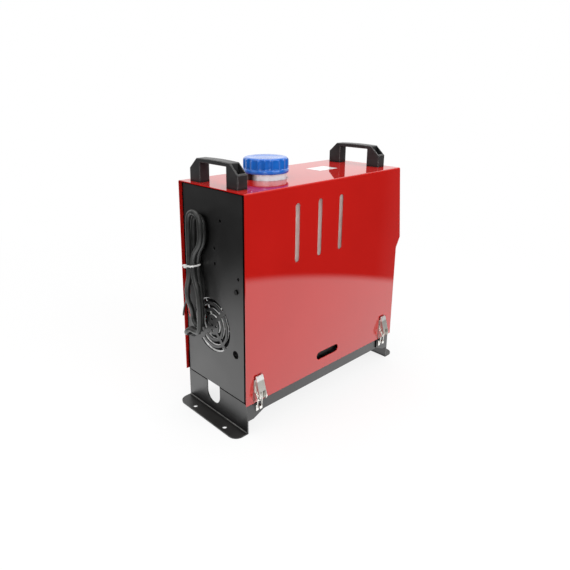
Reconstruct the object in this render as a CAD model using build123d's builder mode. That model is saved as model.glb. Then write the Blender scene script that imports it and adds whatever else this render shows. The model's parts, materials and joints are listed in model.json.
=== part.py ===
from build123d import *
import math
import os

# All-in-one diesel air heater: a lift-off sheet cover over a chassis that carries the fuel tank and the
# heater. Millimetres, +Z up, floor at z = 0, +X towards the warm air outlet, origin at the centre of the
# footprint. The near long side of the photograph faces -Y.

# ---- driving dimensions ----
running_gap = 0.3
slip_fit = 0.05
overcut = 5.0

# Sheet cover
cover_width = 145.0
cover_bottom = 48.0
cover_height = 300.0
cover_overhang = 4.0
step_overhang = 2.5
slope_lean = 4.7
nose_proud = 9.5
nose_z = 227.0
step_z = 209.3
cover_wall = 1.2
cover_bend = 2.4
level_slot_x = -29.0
level_slot_pitch = 46.5
level_slot_count = 3
level_slot_width = 9.0
level_slot_length = 85.0
level_slot_z = 280.9
vent_slot_x = -2.1
vent_slot_z = 72.1
vent_slot_length = 51.0
vent_slot_width = 12.8

# What stands on the common machine line, a little towards the far side
machine_y = 5.0
machine_z = 145.2

# Feet and tray
foot_face_x = 167.9
foot_flange = 23.0
foot_half_width = 69.5
foot_sheet = 2.0
foot_corner = 14.0
foot_plate_top = 78.0
foot_hole_out = 14.8
foot_hole_y = 36.0
foot_hole_radius = 3.3
foot_notch_y = 8.5
foot_notch_radius = 15.5
foot_notch_bottom = 15.0
foot_notch_top = 64.0
gusset_length = 30.0
gusset_bottom = 20.5
tray_half_width = 67.3
tray_bottom = 27.0
tray_sheet = 1.5
tray_top = 76.0
pipe_cutout_depth = 28.0
pipe_cutout_half_width = 58.0
pipe_cutout_round = 8.0
pipe_hole_gap = 3.0

# End plates
plate_sheet = 1.5
plate_half_width = 67.3
plate_bottom = 50.0
plate_return = 10.0
return_clear = 4.0
plate_recess = 1.0
grille_slot_radii = (18.0, 28.0, 38.0)
grille_slot_width = 6.0
grille_spoke = 5.5
grille_dot_radius = 2.0
grille_dot_pitch = 9.0
plate_hole_places = ((-18.7, 303.9), (-5.1, 263.1), (-5.1, 240.8), (-55.1, 231.1))
plate_hole_radius = 2.4
plate_screw_radius = 1.6
plate_screw_places = ((-50.8, 211.7), (42.6, 259.2), (31.8, 264.1), (19.0, 260.0))
plate_port_place = (-47.5, 117.5)
plate_port_radius = 6.0
guard_ring_radii = (12.5, 22.5, 32.5, 42.5)
guard_ring_width = 2.6
guard_thickness = 1.2
guard_standoff = 2.5
guard_tab_radius = 3.5

# Tank
tank_intake_gap = 7.9
tank_outlet_gap = 45.9
tank_side_play = 0.5
tank_headroom = 10.8
tank_wall = 2.5
tank_round = 14.0
shelf_top = 212.0
shelf_sheet = 1.5
shelf_lip = 5.0
shelf_play = 2.0
shelf_hole_radius = 12.0
shelf_hole_places = (-100.0, 0.0, 100.0)
hose_hole_gap = 2.0
neck_x = -64.4
neck_radius = 31.0
neck_wall = 3.0
neck_root = 6.0
neck_above_cover = 12.0
neck_hole_gap = 0.9

# Cap
cap_radius = 33.7
cap_lift_off = 8.6
cap_height = 22.0
cap_ribs = 20
cap_skirt = 4.0
cap_skirt_taper = 4.0
cap_body_inset = 0.5
cap_flute_radius = 3.6
cap_flute_out = 2.0
cap_crown = 3.6
cap_bevel = 0.9
liner_thickness = 3.0
liner_clear = 0.4

# Carrying handles
handle_length = 105.0
handle_depth = 17.0
handle_height = 34.4
handle_leg = 23.8
handle_bar = 6.2
handle_shoulder = 18.8
handle_slope_width = 16.0
handle_inset = 10.0
handle_bow = 1.0
handle_chamfer = 0.8
screw_radius = 2.2
screw_head_radius = 4.0
screw_head_height = 2.8
screw_end = 4.0
socket_radius = 1.4
socket_depth = 1.2
nut_radius = 4.0
nut_height = 3.2
pocket_wall = 2.0
pocket_crown = 1.0
pocket_floor = 8.0

# Toggle latches, heights above the floor and distances out from the cover's side
latch_intake_inset = 18.0
latch_outlet_inset = 25.9
latch_width = 13.0
latch_sheet = 1.2
latch_base_low = 50.0
latch_base_high = 84.0
latch_ear_high = 70.0
latch_ear_gap = 0.4
latch_ear_round = 3.4
latch_pivot_out = 7.2
latch_pivot_z = 57.5
latch_pin_radius = 1.5
rivet_head = 1.0
rivet_flare = 0.9
base_rivet_radius = 2.4
base_rivet_drop = 5.0
bail_pivot_out = 4.5
bail_pivot_z = 66.0
bail_bar_out = 2.5
bail_bar_z = 40.0
bail_wire = 1.1
bail_leg_x = 3.9
bail_bend = 1.6
strike_low = 32.0
strike_lip = 3.2
strike_play_up = 1.1
strike_play_out = 1.2
strike_play_side = 0.4
lever_web_low = 68.0
lever_tip_out = 1.5
lever_tip_z = 89.8
lever_heel_out = 11.2
lever_heel_z = 61.5
lever_tip_sheet = 1.3
lever_knuckle = 3.2
lever_cheek_in = 2.3
lever_cheek_rise = 6.0

# Heater
heater_end_gap = 29.9
heater_width = 110.0
heater_height = 116.0
heater_wall = 2.5
heater_round = 16.0
outlet_radius = 37.5
outlet_wall = 2.0
outlet_spigot = 19.0
outlet_shoulder = 2.0
outlet_shoulder_proud = 0.6
collar_flange = 6.0
collar_flange_sheet = 2.5
collar_bevel = 0.6
casing_split_drop = 6.0
fan_mouth_gap = 3.0
gasket_thickness = 2.0
gasket_half = 24.0
gasket_round = 8.0
stand_sheet = 1.5
stand_half_width = 44.0
stand_end_inset = 26.0
stand_pad = 12.0
exhaust_x = 72.0
exhaust_radius = 12.0
air_x = 22.0
air_radius = 12.5
stub_wall = 1.5
stub_low = 8.0
stub_step = 0.6
stub_step_z = 46.0
shaft_radius = 3.0
fan_radius = 38.0
fan_blades = 9
fan_inset = 16.0
fan_hub_radius = 14.0
fan_hub_front = 8.0
fan_hub_back = 10.0
blade_root_chord = 14.0
blade_tip_chord = 18.0
blade_root_sheet = 2.0
blade_tip_sheet = 1.4
blade_root_pitch = 35.0
blade_tip_pitch = 58.0
shaft_front = 12.0
motor_radius = 23.0
motor_inset = 34.0
motor_length = 44.0
bulkhead_sheet = 3.0
bulkhead_vents = 8
bulkhead_vent_radius = 8.5
bulkhead_vent_ring = 42.0
wheel_standoff = 3.0
wheel_radius = 20.0
wheel_sheet = 1.5
wheel_hub_radius = 7.0
wheel_hub_length = 5.0
wheel_vanes = 10
vane_height = 4.0
vane_length = 11.0
vane_sheet = 1.2
vane_ring = 13.5
vane_turn = 25.0
exchanger_intake_inset = 94.0
exchanger_outlet_inset = 26.0
exchanger_radius = 34.0
exchanger_fin_radius = 48.0
exchanger_fins = 18
exchanger_fin_sheet = 2.6
exchanger_wall = 6.0
exchanger_root = 4.0
exchanger_pad_half = 20.0
exchanger_pad_rise = 8.0
burner_gap = 6.0
burner_wall = 2.0
burner_flange = 6.0
burner_short = 40.0
plug_inset = 18.0
plug_radius = 3.0
plug_height = 7.0
unit_low_x = -8.0
unit_high_x = 56.0
unit_half_width = 30.0
unit_height = 7.0

# Fuel line
pump_x = -60.0
pump_z = 54.0
pump_radius = 13.0
pump_length = 64.0
pump_collar = 8.0
pump_barb = 8.0
clamp_width = 16.0
clamp_wall = 1.8
clamp_leg = 6.0
clamp_foot = 24.0
clamp_foot_sheet = 2.0
pump_neck_step = 4.0
hose_radius = 3.0
filter_y = 55.0
filter_z = 153.0
filter_radius = 7.0
filter_length = 30.0
filter_reach = 23.0
tank_tap_inset = 8.0
tank_tap_y = 48.0
tank_tap_length = 16.0

# Control panel on the sloping face
panel_width = 84.0
panel_height = 66.0
panel_thickness = 4.0
panel_slope_place = 52.0
panel_round = 6.0
panel_bevel = 1.0
panel_floor = 1.0
screen_round = 2.0
screen_margin = 8.0
screen_play = 0.2
screen_recess = 0.6
button_edge = 12.0
button_bevel = 0.4
screen_width = 56.0
screen_height = 30.0
button_radius = 4.5
button_margin = 15.0
button_count = 4
button_travel = 1.2

# Power lead
lead_radius = 3.75
grommet_y = 55.0
grommet_z = 117.0
grommet_neck = 2.1
grommet_flange = 4.2
grommet_lip = 2.0
grommet_bevel = 1.0
grommet_fit = 0.1
hank_top = 315.0
hank_bottom = 127.0
hank_upper_sides = ((7.8, 36.2), (11.5, 36.0))
hank_lower_sides = ((15.5, 38.5), (21.5, 44.5))
hank_floor_step = 5.0
hank_waist_right = 28.0
hank_waist_left = 36.5
hank_waist_z = 232.0
hank_loop_drop = 7.0
hank_waist_straight = 6.0
hank_sway = 40.0
hank_plate_gap = 2.0
hank_layer = 8.3
lead_end_y = 52.4
lead_end_z = 195.0
core_radius = 1.3
tie_sheet = 1.0
tie_width = 4.0
tie_tilt = 10.0
tie_gap = 0.3
tie_head_reach = 5.0
tie_head_width = 6.0
tie_head_inset = 3.0
tie_tail_length = 14.0
tie_tail_inset = -1.0
crimp_start = 1.5
crimp_length = 5.0
crimp_wall = 0.4
plate_screw_head_radius = 3.2
plate_screw_head = 1.8

# ---- worked out from these ----
cover_top = cover_bottom + cover_height
cover_half = cover_width / 2
cover_intake_x = -(foot_face_x + cover_overhang)
step_x = foot_face_x + step_overhang
cover_outlet_x = step_x - slope_lean
nose_x = step_x + nose_proud
foot_hole_x = foot_face_x + foot_hole_out
latch_places_x = (latch_intake_inset - foot_face_x, foot_face_x - latch_outlet_inset)
tank_low_x = tank_intake_gap - foot_face_x
tank_high_x = foot_face_x - tank_outlet_gap
tank_tap_x = tank_low_x + tank_tap_inset
filter_x = tank_tap_x
heater_high_x = foot_face_x - heater_end_gap
heater_low_x = -heater_high_x
stand_half_length = heater_high_x - stand_end_inset
fan_x = heater_low_x + fan_inset
motor_low_x = heater_low_x + motor_inset
exchanger_low_x = heater_low_x + exchanger_intake_inset
exchanger_high_x = heater_high_x - exchanger_outlet_inset
pocket_low = handle_length / 2 - handle_slope_width + pocket_crown
pocket_high = handle_length / 2 - pocket_wall
screw_reach = (pocket_low + pocket_high) / 2
plate_front_x = foot_face_x + plate_sheet
plate_top = cover_top - cover_wall - running_gap
tray_inner = tray_half_width - tray_sheet
heater_bottom = machine_z - heater_height / 2
stand_top = heater_bottom - gasket_thickness
outlet_shoulder_x = plate_front_x + outlet_shoulder_proud
outlet_reach = outlet_shoulder_x + outlet_spigot
tank_bottom = shelf_top
tank_half_width = plate_half_width - plate_sheet - tank_side_play
tank_tap_z = shelf_top - tank_tap_length
tank_height = cover_top - cover_wall - tank_headroom - tank_bottom
neck_top = cover_top + neck_above_cover


def block(x, y, z, mode=Mode.ADD):
    """A box between the two given coordinates on each axis."""
    with Locations(((x[0] + x[1]) / 2, (y[0] + y[1]) / 2, (z[0] + z[1]) / 2)):
        Box(abs(x[1] - x[0]), abs(y[1] - y[0]), abs(z[1] - z[0]), mode=mode)


def rod_x(radius, low, high, y, z, mode=Mode.ADD):
    """A cylinder along X."""
    with Locations(Location(((low + high) / 2, y, z), (0, 90, 0))):
        Cylinder(radius, high - low, mode=mode)


def rod_z(radius, low, high, x, y, mode=Mode.ADD):
    """A cylinder along Z."""
    with Locations((x, y, (low + high) / 2)):
        Cylinder(radius, high - low, mode=mode)


def write(piece, label):
    """Label a finished sub-part and write its STEP file."""
    piece.part.label = label
    export_step(piece.part, f"parts/{label}.step")


os.makedirs("parts", exist_ok=True)

# ---- feet ----


def foot(side):
    """Sheet foot at one end: upright, flange on the floor, side gussets and a pipe notch."""
    face = side * foot_face_x
    back = side * (foot_face_x - foot_sheet)
    edge = side * (foot_face_x + foot_flange)
    with BuildPart() as piece:
        block((back, face), (-foot_half_width, foot_half_width), (0, foot_plate_top))
        block((back, edge), (-foot_half_width, foot_half_width), (0, foot_sheet))
        corners = piece.edges().filter_by(Axis.Z).filter_by(lambda e: abs(e.center().X - edge) < 0.01)
        fillet(corners, radius=foot_corner)
        with BuildSketch(Plane.XZ.offset(-foot_half_width)) as gusset:
            with BuildLine():
                start = (back, gusset_bottom)
                knee = (back - side * gusset_length / 3, gusset_bottom)
                toe = (back - side * gusset_length, tray_bottom + foot_sheet)
                Line(start, knee)
                Line(knee, toe)
                Line(toe, (toe[0], foot_plate_top - foot_sheet))
                Line((toe[0], foot_plate_top - foot_sheet), (back, foot_plate_top - foot_sheet))
                Line((back, foot_plate_top - foot_sheet), start)
            make_face()
        extrude(amount=foot_sheet)
        mirror(about=Plane.XZ)
        with BuildSketch(Plane.YZ.offset(back - side * foot_sheet)):
            with Locations((-side * foot_notch_y, (foot_notch_bottom + foot_notch_top) / 2)):
                SlotOverall(foot_notch_top - foot_notch_bottom, foot_notch_radius * 2, rotation=90)
        extrude(amount=side * foot_sheet * 3, mode=Mode.SUBTRACT)
        for y in (-foot_hole_y, foot_hole_y):
            rod_z(foot_hole_radius, -1, foot_sheet + 1, side * foot_hole_x, y, mode=Mode.SUBTRACT)
    return piece


intake_foot = foot(-1)
write(intake_foot, "intake_foot")
outlet_foot = foot(1)
write(outlet_foot, "outlet_foot")

# ---- tray ----
tray_end = foot_face_x - foot_sheet
with BuildPart() as base_tray:
    block((-tray_end, tray_end), (-tray_half_width, tray_half_width), (tray_bottom, tray_top))
    inside = (tray_bottom + tray_sheet, tray_top)
    block((-tray_end, tray_end), (-tray_inner, tray_inner), inside, mode=Mode.SUBTRACT)
    with BuildSketch(Plane.XY.offset(tray_bottom)) as pipe_cutouts:
        with GridLocations(2 * tray_end, 1, 2, 1):
            RectangleRounded(2 * pipe_cutout_depth, 2 * pipe_cutout_half_width, pipe_cutout_round)
    extrude(amount=tray_sheet, mode=Mode.SUBTRACT)
    for x, radius in ((exhaust_x, exhaust_radius), (air_x, air_radius)):
        rod_z(radius + pipe_hole_gap, 0, tray_bottom + overcut, x, machine_y, mode=Mode.SUBTRACT)
write(base_tray, "base_tray")

# ---- latch strikes on the feet's side gussets ----
strike_half = bail_leg_x - bail_wire - strike_play_side
strike_under = bail_bar_z + bail_wire + strike_play_up
strike_out = cover_half + bail_bar_out + bail_wire + strike_play_out
with BuildPart() as latch_strikes:
    for x in latch_places_x:
        across = (x - strike_half, x + strike_half)
        block(across, (-foot_half_width - latch_sheet, -foot_half_width), (strike_low, strike_under))
        shelf_y = (-strike_out - latch_sheet, -foot_half_width)
        block(across, shelf_y, (strike_under, strike_under + latch_sheet))
        block(across, (shelf_y[0], -strike_out), (strike_under - strike_lip, strike_under))
    mirror(about=Plane.XZ)
write(latch_strikes, "latch_strikes")

# ---- intake end plate with its stamped grille ----
with BuildPart() as intake_end_plate:
    plate_back_x = -plate_front_x + plate_sheet
    return_x = plate_back_x + plate_return
    block((-plate_front_x, plate_back_x), (-plate_half_width, plate_half_width), (plate_bottom, plate_top))
    rim = (plate_half_width - plate_sheet, plate_half_width)
    for edge in (rim, (-rim[1], -rim[0])):
        block((plate_back_x, return_x), edge, (tray_top + return_clear, plate_top))
    top_return = (plate_top - plate_sheet, plate_top)
    block((plate_back_x, return_x), (-plate_half_width, plate_half_width), top_return)
    with BuildSketch(Plane.YZ.offset(-plate_front_x)) as openings:
        with Locations((machine_y, machine_z)):
            for radius in sorted(grille_slot_radii, reverse=True):
                Circle(radius + grille_slot_width / 2)
                Circle(radius - grille_slot_width / 2, mode=Mode.SUBTRACT)
            reach = 2 * (grille_slot_radii[-1] + grille_slot_width)
            Rectangle(reach, grille_spoke, rotation=45, mode=Mode.SUBTRACT)
            Rectangle(reach, grille_spoke, rotation=-45, mode=Mode.SUBTRACT)
        with Locations((machine_y, machine_z)):
            Circle(grille_dot_radius)
            with PolarLocations(grille_dot_pitch, 4):
                Circle(grille_dot_radius)
        with Locations(*plate_hole_places):
            Circle(plate_hole_radius)
        with Locations(plate_port_place):
            Circle(plate_port_radius)
        with Locations((grommet_y, grommet_z)):
            Circle(lead_radius + grommet_neck + grommet_fit)
        with Locations(*plate_screw_places):
            Circle(plate_screw_radius)
    extrude(amount=plate_sheet, mode=Mode.SUBTRACT)
write(intake_end_plate, "intake_end_plate")

# ---- outlet end plate: lower face, step back under the nose, sloping control face ----
slope_top = (cover_outlet_x - plate_recess, plate_top)
slope_nose = (nose_x - plate_recess, nose_z)
with BuildPart() as outlet_end_plate:
    with BuildSketch(Plane.XZ) as section:
        with BuildLine():
            inner = slope_top[0] - plate_return * 2
            Polyline(
                (inner, plate_bottom), (plate_front_x, plate_bottom), (plate_front_x, step_z),
                slope_nose, slope_top, (inner, plate_top), close=True,
            )
        make_face()
        offset(amount=-plate_sheet, kind=Kind.INTERSECTION, mode=Mode.SUBTRACT)
        with Locations((inner + plate_return / 2, (plate_bottom + plate_top) / 2)):
            Rectangle(plate_return, plate_top, mode=Mode.SUBTRACT)
        with Locations((foot_face_x - plate_return, plate_bottom)):
            Rectangle(plate_return * 2, plate_return * 2, mode=Mode.SUBTRACT)
    extrude(amount=plate_half_width, both=True)
    for side in (-1, 1):
        wall = (side * (plate_half_width - plate_sheet), side * plate_half_width)
        return_z = (tray_top + return_clear, step_z - plate_sheet)
        block((foot_face_x - plate_return, foot_face_x), wall, return_z)
    collar_hole = outlet_radius + outlet_shoulder + running_gap
    hole_ends = (foot_face_x - overcut, plate_front_x + overcut)
    rod_x(collar_hole, *hole_ends, machine_y, machine_z, Mode.SUBTRACT)
write(outlet_end_plate, "outlet_end_plate")

# ---- tank shelf between the end plates ----
with BuildPart() as tank_shelf:
    shelf_end = foot_face_x
    shelf_out = foot_face_x - shelf_play
    lip_z = (shelf_top - shelf_lip, shelf_top)
    hole_z = (shelf_top - overcut, shelf_top + overcut)
    shelf_side = plate_half_width - plate_sheet - running_gap
    block((-shelf_end, shelf_out), (-shelf_side, shelf_side), (shelf_top - shelf_sheet, shelf_top))
    block((-shelf_end, -shelf_end + shelf_sheet), (-shelf_side, shelf_side), lip_z)
    for side in (-1, 1):
        lip = (side * (shelf_side - shelf_sheet), side * shelf_side)
        block((-shelf_end + plate_return, shelf_out - plate_return), lip, lip_z)
    for x in shelf_hole_places:
        rod_z(shelf_hole_radius, *hole_z, x, 0, mode=Mode.SUBTRACT)
    rod_z(hose_radius + hose_hole_gap, *hole_z, tank_tap_x, tank_tap_y, mode=Mode.SUBTRACT)
write(tank_shelf, "tank_shelf")

# ---- fuel tank ----
tank_top = tank_bottom + tank_height
tank_centre_x = (tank_low_x + tank_high_x) / 2
tank_length = tank_high_x - tank_low_x
with BuildPart() as fuel_tank:
    with Locations((tank_centre_x, 0, tank_bottom + tank_height / 2)):
        Box(tank_length, tank_half_width * 2, tank_height)
    fillet(fuel_tank.edges().filter_by(Axis.Z), radius=tank_round)
    fillet(fuel_tank.edges().group_by(Axis.Z)[-1], radius=tank_round / 2)
    rod_z(neck_radius, tank_top - neck_root, neck_top, neck_x, machine_y)
    with Locations((tank_centre_x, 0, tank_bottom + tank_height / 2)):
        walls = 2 * tank_wall
        Box(tank_length - walls, 2 * tank_half_width - walls, tank_height - walls, mode=Mode.SUBTRACT)
    neck_bore = neck_radius - neck_wall
    rod_z(neck_bore, tank_top - tank_round, neck_top + 1, neck_x, machine_y, mode=Mode.SUBTRACT)
    rod_z(hose_radius, tank_tap_z, tank_bottom + tank_wall, tank_tap_x, tank_tap_y)
    tap_z = (tank_tap_z - 1, tank_bottom + tank_wall + 1)
    rod_z(hose_radius / 2, *tap_z, tank_tap_x, tank_tap_y, mode=Mode.SUBTRACT)
write(fuel_tank, "fuel_tank")

# ---- cover ----
with BuildPart() as cover_shell:
    with BuildSketch(Plane.XZ) as side_outline:
        with BuildLine():
            Polyline(
                (cover_intake_x, cover_bottom), (cover_intake_x, cover_top), (cover_outlet_x, cover_top),
                (nose_x, nose_z), (step_x, step_z), (step_x, cover_bottom), close=True,
            )
        make_face()
    extrude(amount=cover_half, both=True)
    long_edges = cover_shell.edges().filter_by(Axis.X).group_by(Axis.Z)[-1]
    fillet(long_edges, radius=cover_bend)
    with BuildSketch(Plane.YZ.offset(cover_intake_x - 1)) as bore:
        with Locations((0, cover_top - cover_wall)):
            Rectangle(cover_width - 2 * cover_wall, cover_height + 10, align=(Align.CENTER, Align.MAX))
        fillet(bore.vertices().group_by(Axis.Y)[-1], radius=cover_bend - cover_wall)
    extrude(amount=cover_width * 3, mode=Mode.SUBTRACT)
    with BuildSketch(Plane.XZ):
        with Locations((level_slot_x, level_slot_z)):
            with GridLocations(level_slot_pitch, 1, level_slot_count, 1):
                SlotOverall(level_slot_length, level_slot_width, rotation=90)
        with Locations((vent_slot_x, vent_slot_z)):
            SlotOverall(vent_slot_length, vent_slot_width)
    extrude(amount=cover_width, both=True, mode=Mode.SUBTRACT)
    roof_z = (cover_top - overcut, cover_top + overcut)
    rod_z(neck_radius + neck_hole_gap, *roof_z, neck_x, machine_y, mode=Mode.SUBTRACT)
    for end_x, inward in ((cover_intake_x, 1), (cover_outlet_x, -1)):
        for side in (-1, 1):
            hole_x = end_x + inward * (handle_inset + handle_depth / 2)
            hole_y = machine_y + side * screw_reach
            rod_z(screw_radius + slip_fit, *roof_z, hole_x, hole_y, mode=Mode.SUBTRACT)
write(cover_shell, "cover_shell")

# ---- carrying handles ----


def handle(centre_x):
    """Moulded bow handle that stands on the cover, with sloping shoulders and screw pockets."""
    half = handle_length / 2
    shoulder = half - handle_slope_width
    crown = handle_height - handle_bow
    with BuildPart() as piece:
        with BuildSketch(Plane.YZ.offset(centre_x - handle_depth / 2)) as front:
            with BuildLine():
                left = machine_y - half
                right = machine_y + half
                Line((left, cover_top), (left, cover_top + handle_shoulder))
                Line((left, cover_top + handle_shoulder), (machine_y - shoulder, cover_top + crown))
                ThreePointArc(
                    (machine_y - shoulder, cover_top + crown),
                    (machine_y, cover_top + handle_height),
                    (machine_y + shoulder, cover_top + crown),
                )
                Line((machine_y + shoulder, cover_top + crown), (right, cover_top + handle_shoulder))
                Line((right, cover_top + handle_shoulder), (right, cover_top))
                Line((right, cover_top), (left, cover_top))
            make_face()
            with Locations((machine_y, cover_top - overcut)):
                window = handle_height - handle_bar + overcut
                grip = handle_length - 2 * handle_leg
                Rectangle(grip, window, align=(Align.CENTER, Align.MIN), mode=Mode.SUBTRACT)
        extrude(amount=handle_depth)
        rims = piece.edges().filter_by(Plane.YZ).filter_by(lambda e: e.center().Z > cover_top + 1)
        chamfer(rims, length=handle_chamfer)
        for side in (-1, 1):
            screw_y = machine_y + side * screw_reach
            above = cover_top + handle_height
            rod_z(screw_radius + slip_fit, cover_top - 1, above, centre_x, screw_y, Mode.SUBTRACT)
            with Locations((centre_x, screw_y, cover_top + pocket_floor)):
                rise = (Align.CENTER, Align.CENTER, Align.MIN)
                wide = handle_depth - 2 * pocket_wall
                Box(wide, pocket_high - pocket_low, handle_height, align=rise, mode=Mode.SUBTRACT)
    return piece


handle_centres = (
    cover_intake_x + handle_inset + handle_depth / 2,
    cover_outlet_x - handle_inset - handle_depth / 2,
)
intake_handle = handle(handle_centres[0])
write(intake_handle, "intake_handle")
outlet_handle = handle(handle_centres[1])
write(outlet_handle, "outlet_handle")

with BuildPart() as handle_screws:
    for x in handle_centres:
        for side in (-1, 1):
            y = machine_y + side * screw_reach
            head = cover_top + pocket_floor
            rod_z(screw_head_radius, head, head + screw_head_height, x, y)
            rod_z(screw_radius, cover_top - cover_wall - screw_end, head, x, y)
            with BuildSketch(Plane.XY.offset(cover_top - cover_wall - nut_height)) as nut:
                with Locations((x, y)):
                    RegularPolygon(nut_radius, 6)
            extrude(amount=nut_height)
            head_top = head + screw_head_height
            rod_z(socket_radius, head_top - socket_depth, head_top + 1, x, y, Mode.SUBTRACT)
write(handle_screws, "handle_screws")

# ---- toggle latches ----
ear_inner = latch_width / 2 + latch_ear_gap
ear_outer = ear_inner + latch_sheet


def out(distance):
    """Y of a place at the given distance out from the near side of the cover."""
    return -(cover_half + distance)


with BuildPart() as latch_bases:
    for x in latch_places_x:
        block((x - ear_outer, x + ear_outer), (out(0), out(latch_sheet)), (latch_base_low, latch_base_high))
        for side in (-1, 1):
            with BuildSketch(Plane.YZ.offset(x + side * ear_inner)) as ear:
                with BuildLine():
                    Polyline(
                        (out(0), latch_base_low), (out(latch_pivot_out), latch_pivot_z - latch_ear_round),
                        (out(latch_pivot_out + latch_ear_round), latch_pivot_z),
                        (out(latch_pivot_out), latch_pivot_z + latch_ear_round),
                        (out(0), latch_ear_high), close=True,
                    )
                make_face()
                with Locations((out(latch_pivot_out), latch_pivot_z)):
                    Circle(latch_pin_radius + slip_fit, mode=Mode.SUBTRACT)
            extrude(amount=side * latch_sheet)
        rivet_z = latch_base_high - base_rivet_drop
        with Locations(Location((x, out(latch_sheet + rivet_head / 2), rivet_z), (90, 0, 0))):
            Cylinder(base_rivet_radius, rivet_head)
    mirror(about=Plane.XZ)
write(latch_bases, "latch_bases")

with BuildPart() as latch_pivot_pins:
    for x in latch_places_x:
        for side in (-1, 1):
            inner, outer = x + side * (latch_width / 2 - latch_sheet), x + side * ear_outer
            rod_x(latch_pin_radius, *sorted((inner, outer)), out(latch_pivot_out), latch_pivot_z)
            head = outer + side * rivet_head
            flared = latch_pin_radius + rivet_flare
            rod_x(flared, *sorted((outer, head)), out(latch_pivot_out), latch_pivot_z)
    mirror(about=Plane.XZ)
write(latch_pivot_pins, "latch_pivot_pins")


def lever(x, far):
    """Pressed channel lever that stands against the cover when the latch is closed."""
    with BuildPart() as piece:
        with BuildSketch(Plane.YZ.offset(x - latch_width / 2)) as cheek:
            with BuildLine():
                Polyline(
                    (out(lever_tip_out), lever_tip_z), (out(lever_tip_out + lever_tip_sheet), lever_tip_z),
                    (out(lever_heel_out), lever_heel_z), (out(lever_heel_out - 0.6), latch_pivot_z - 1.5),
                    (out(latch_pivot_out + 0.6), latch_pivot_z - lever_knuckle),
                    (out(latch_pivot_out - 2.5), latch_pivot_z - 1.2),
                    (out(lever_cheek_in + 0.3), bail_pivot_z - 2),
                    (out(lever_cheek_in), bail_pivot_z + lever_cheek_rise), close=True,
                )
            make_face()
            with Locations((out(latch_pivot_out), latch_pivot_z)):
                Circle(latch_pin_radius + slip_fit, mode=Mode.SUBTRACT)
            with Locations((out(bail_pivot_out), bail_pivot_z)):
                Circle(bail_wire + slip_fit, mode=Mode.SUBTRACT)
        extrude(amount=latch_width)
        channel = latch_width / 2 - latch_sheet
        with BuildSketch(Plane.YZ.offset(x - channel)) as hollow:
            with BuildLine():
                web_top = (lever_tip_out + 0.1, lever_tip_z - latch_sheet)
                web_heel = (lever_heel_out - latch_sheet - 0.1, lever_heel_z)
                share = (web_top[1] - lever_web_low) / (web_top[1] - web_heel[1])
                web_out = web_top[0] + share * (web_heel[0] - web_top[0])
                beyond = 2 * lever_heel_out
                under = latch_pivot_z - lever_heel_out
                Polyline(
                    (out(-beyond), web_top[1]), (out(web_top[0]), web_top[1]), (out(web_out), lever_web_low),
                    (out(beyond), lever_web_low), (out(beyond), under), (out(-beyond), under), close=True,
                )
            make_face()
        extrude(amount=2 * channel, mode=Mode.SUBTRACT)
        if far:
            mirror(about=Plane.XZ, mode=Mode.REPLACE)
    return piece


def bail(x, far):
    """Wire loop: ends turned out into the lever's cheeks, lower bar under the strike's lip."""
    with BuildPart() as piece:
        end = latch_width / 2 - 0.1
        with BuildLine() as path:
            FilletPolyline(
                (x - end, out(bail_pivot_out), bail_pivot_z),
                (x - bail_leg_x, out(bail_pivot_out), bail_pivot_z),
                (x - bail_leg_x, out(bail_bar_out), bail_bar_z),
                (x + bail_leg_x, out(bail_bar_out), bail_bar_z),
                (x + bail_leg_x, out(bail_pivot_out), bail_pivot_z),
                (x + end, out(bail_pivot_out), bail_pivot_z),
                radius=bail_bend,
            )
        with BuildSketch(Plane(origin=path.line @ 0, z_dir=path.line % 0)) as section:
            Circle(bail_wire)
        sweep()
        if far:
            mirror(about=Plane.XZ, mode=Mode.REPLACE)
    return piece


latch_names = ("near_intake", "near_outlet", "far_intake", "far_outlet")
for index, name in enumerate(latch_names):
    latch_x = latch_places_x[index % 2]
    write(lever(latch_x, index > 1), f"{name}_lever")
    write(bail(latch_x, index > 1), f"{name}_bail")

# ---- filler cap ----
cap_bottom = cover_top + cap_lift_off
cap_top = cap_bottom + cap_height
with BuildPart() as cap_liner:
    liner_bottom = neck_top + running_gap
    rod_z(neck_radius - liner_clear, liner_bottom, liner_bottom + liner_thickness, neck_x, machine_y)
write(cap_liner, "cap_liner")

with BuildPart() as fuel_cap:
    crown_low = liner_bottom + liner_thickness + running_gap
    with BuildSketch(Plane.XY.offset(cap_bottom)) as ring:
        with Locations((neck_x, machine_y)):
            Circle(cap_radius)
    extrude(amount=cap_skirt, taper=cap_skirt_taper)
    body_radius = cap_radius - cap_body_inset
    rod_z(body_radius, cap_bottom + cap_skirt, cap_top, neck_x, machine_y)
    with BuildSketch(Plane.XY.offset(cap_bottom + cap_skirt)) as flutes:
        with Locations((neck_x, machine_y)):
            with PolarLocations(cap_radius + cap_flute_out, cap_ribs, start_angle=180 / cap_ribs):
                Circle(cap_flute_radius)
    extrude(amount=cap_height - cap_skirt - cap_crown, mode=Mode.SUBTRACT)
    chamfer(fuel_cap.edges().group_by(Axis.Z)[-1], length=cap_bevel)
    rod_z(neck_radius + running_gap, cap_bottom - 1, crown_low, neck_x, machine_y, mode=Mode.SUBTRACT)
write(fuel_cap, "fuel_cap")

# ---- heater casing ----
split_z = machine_z - casing_split_drop


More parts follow.
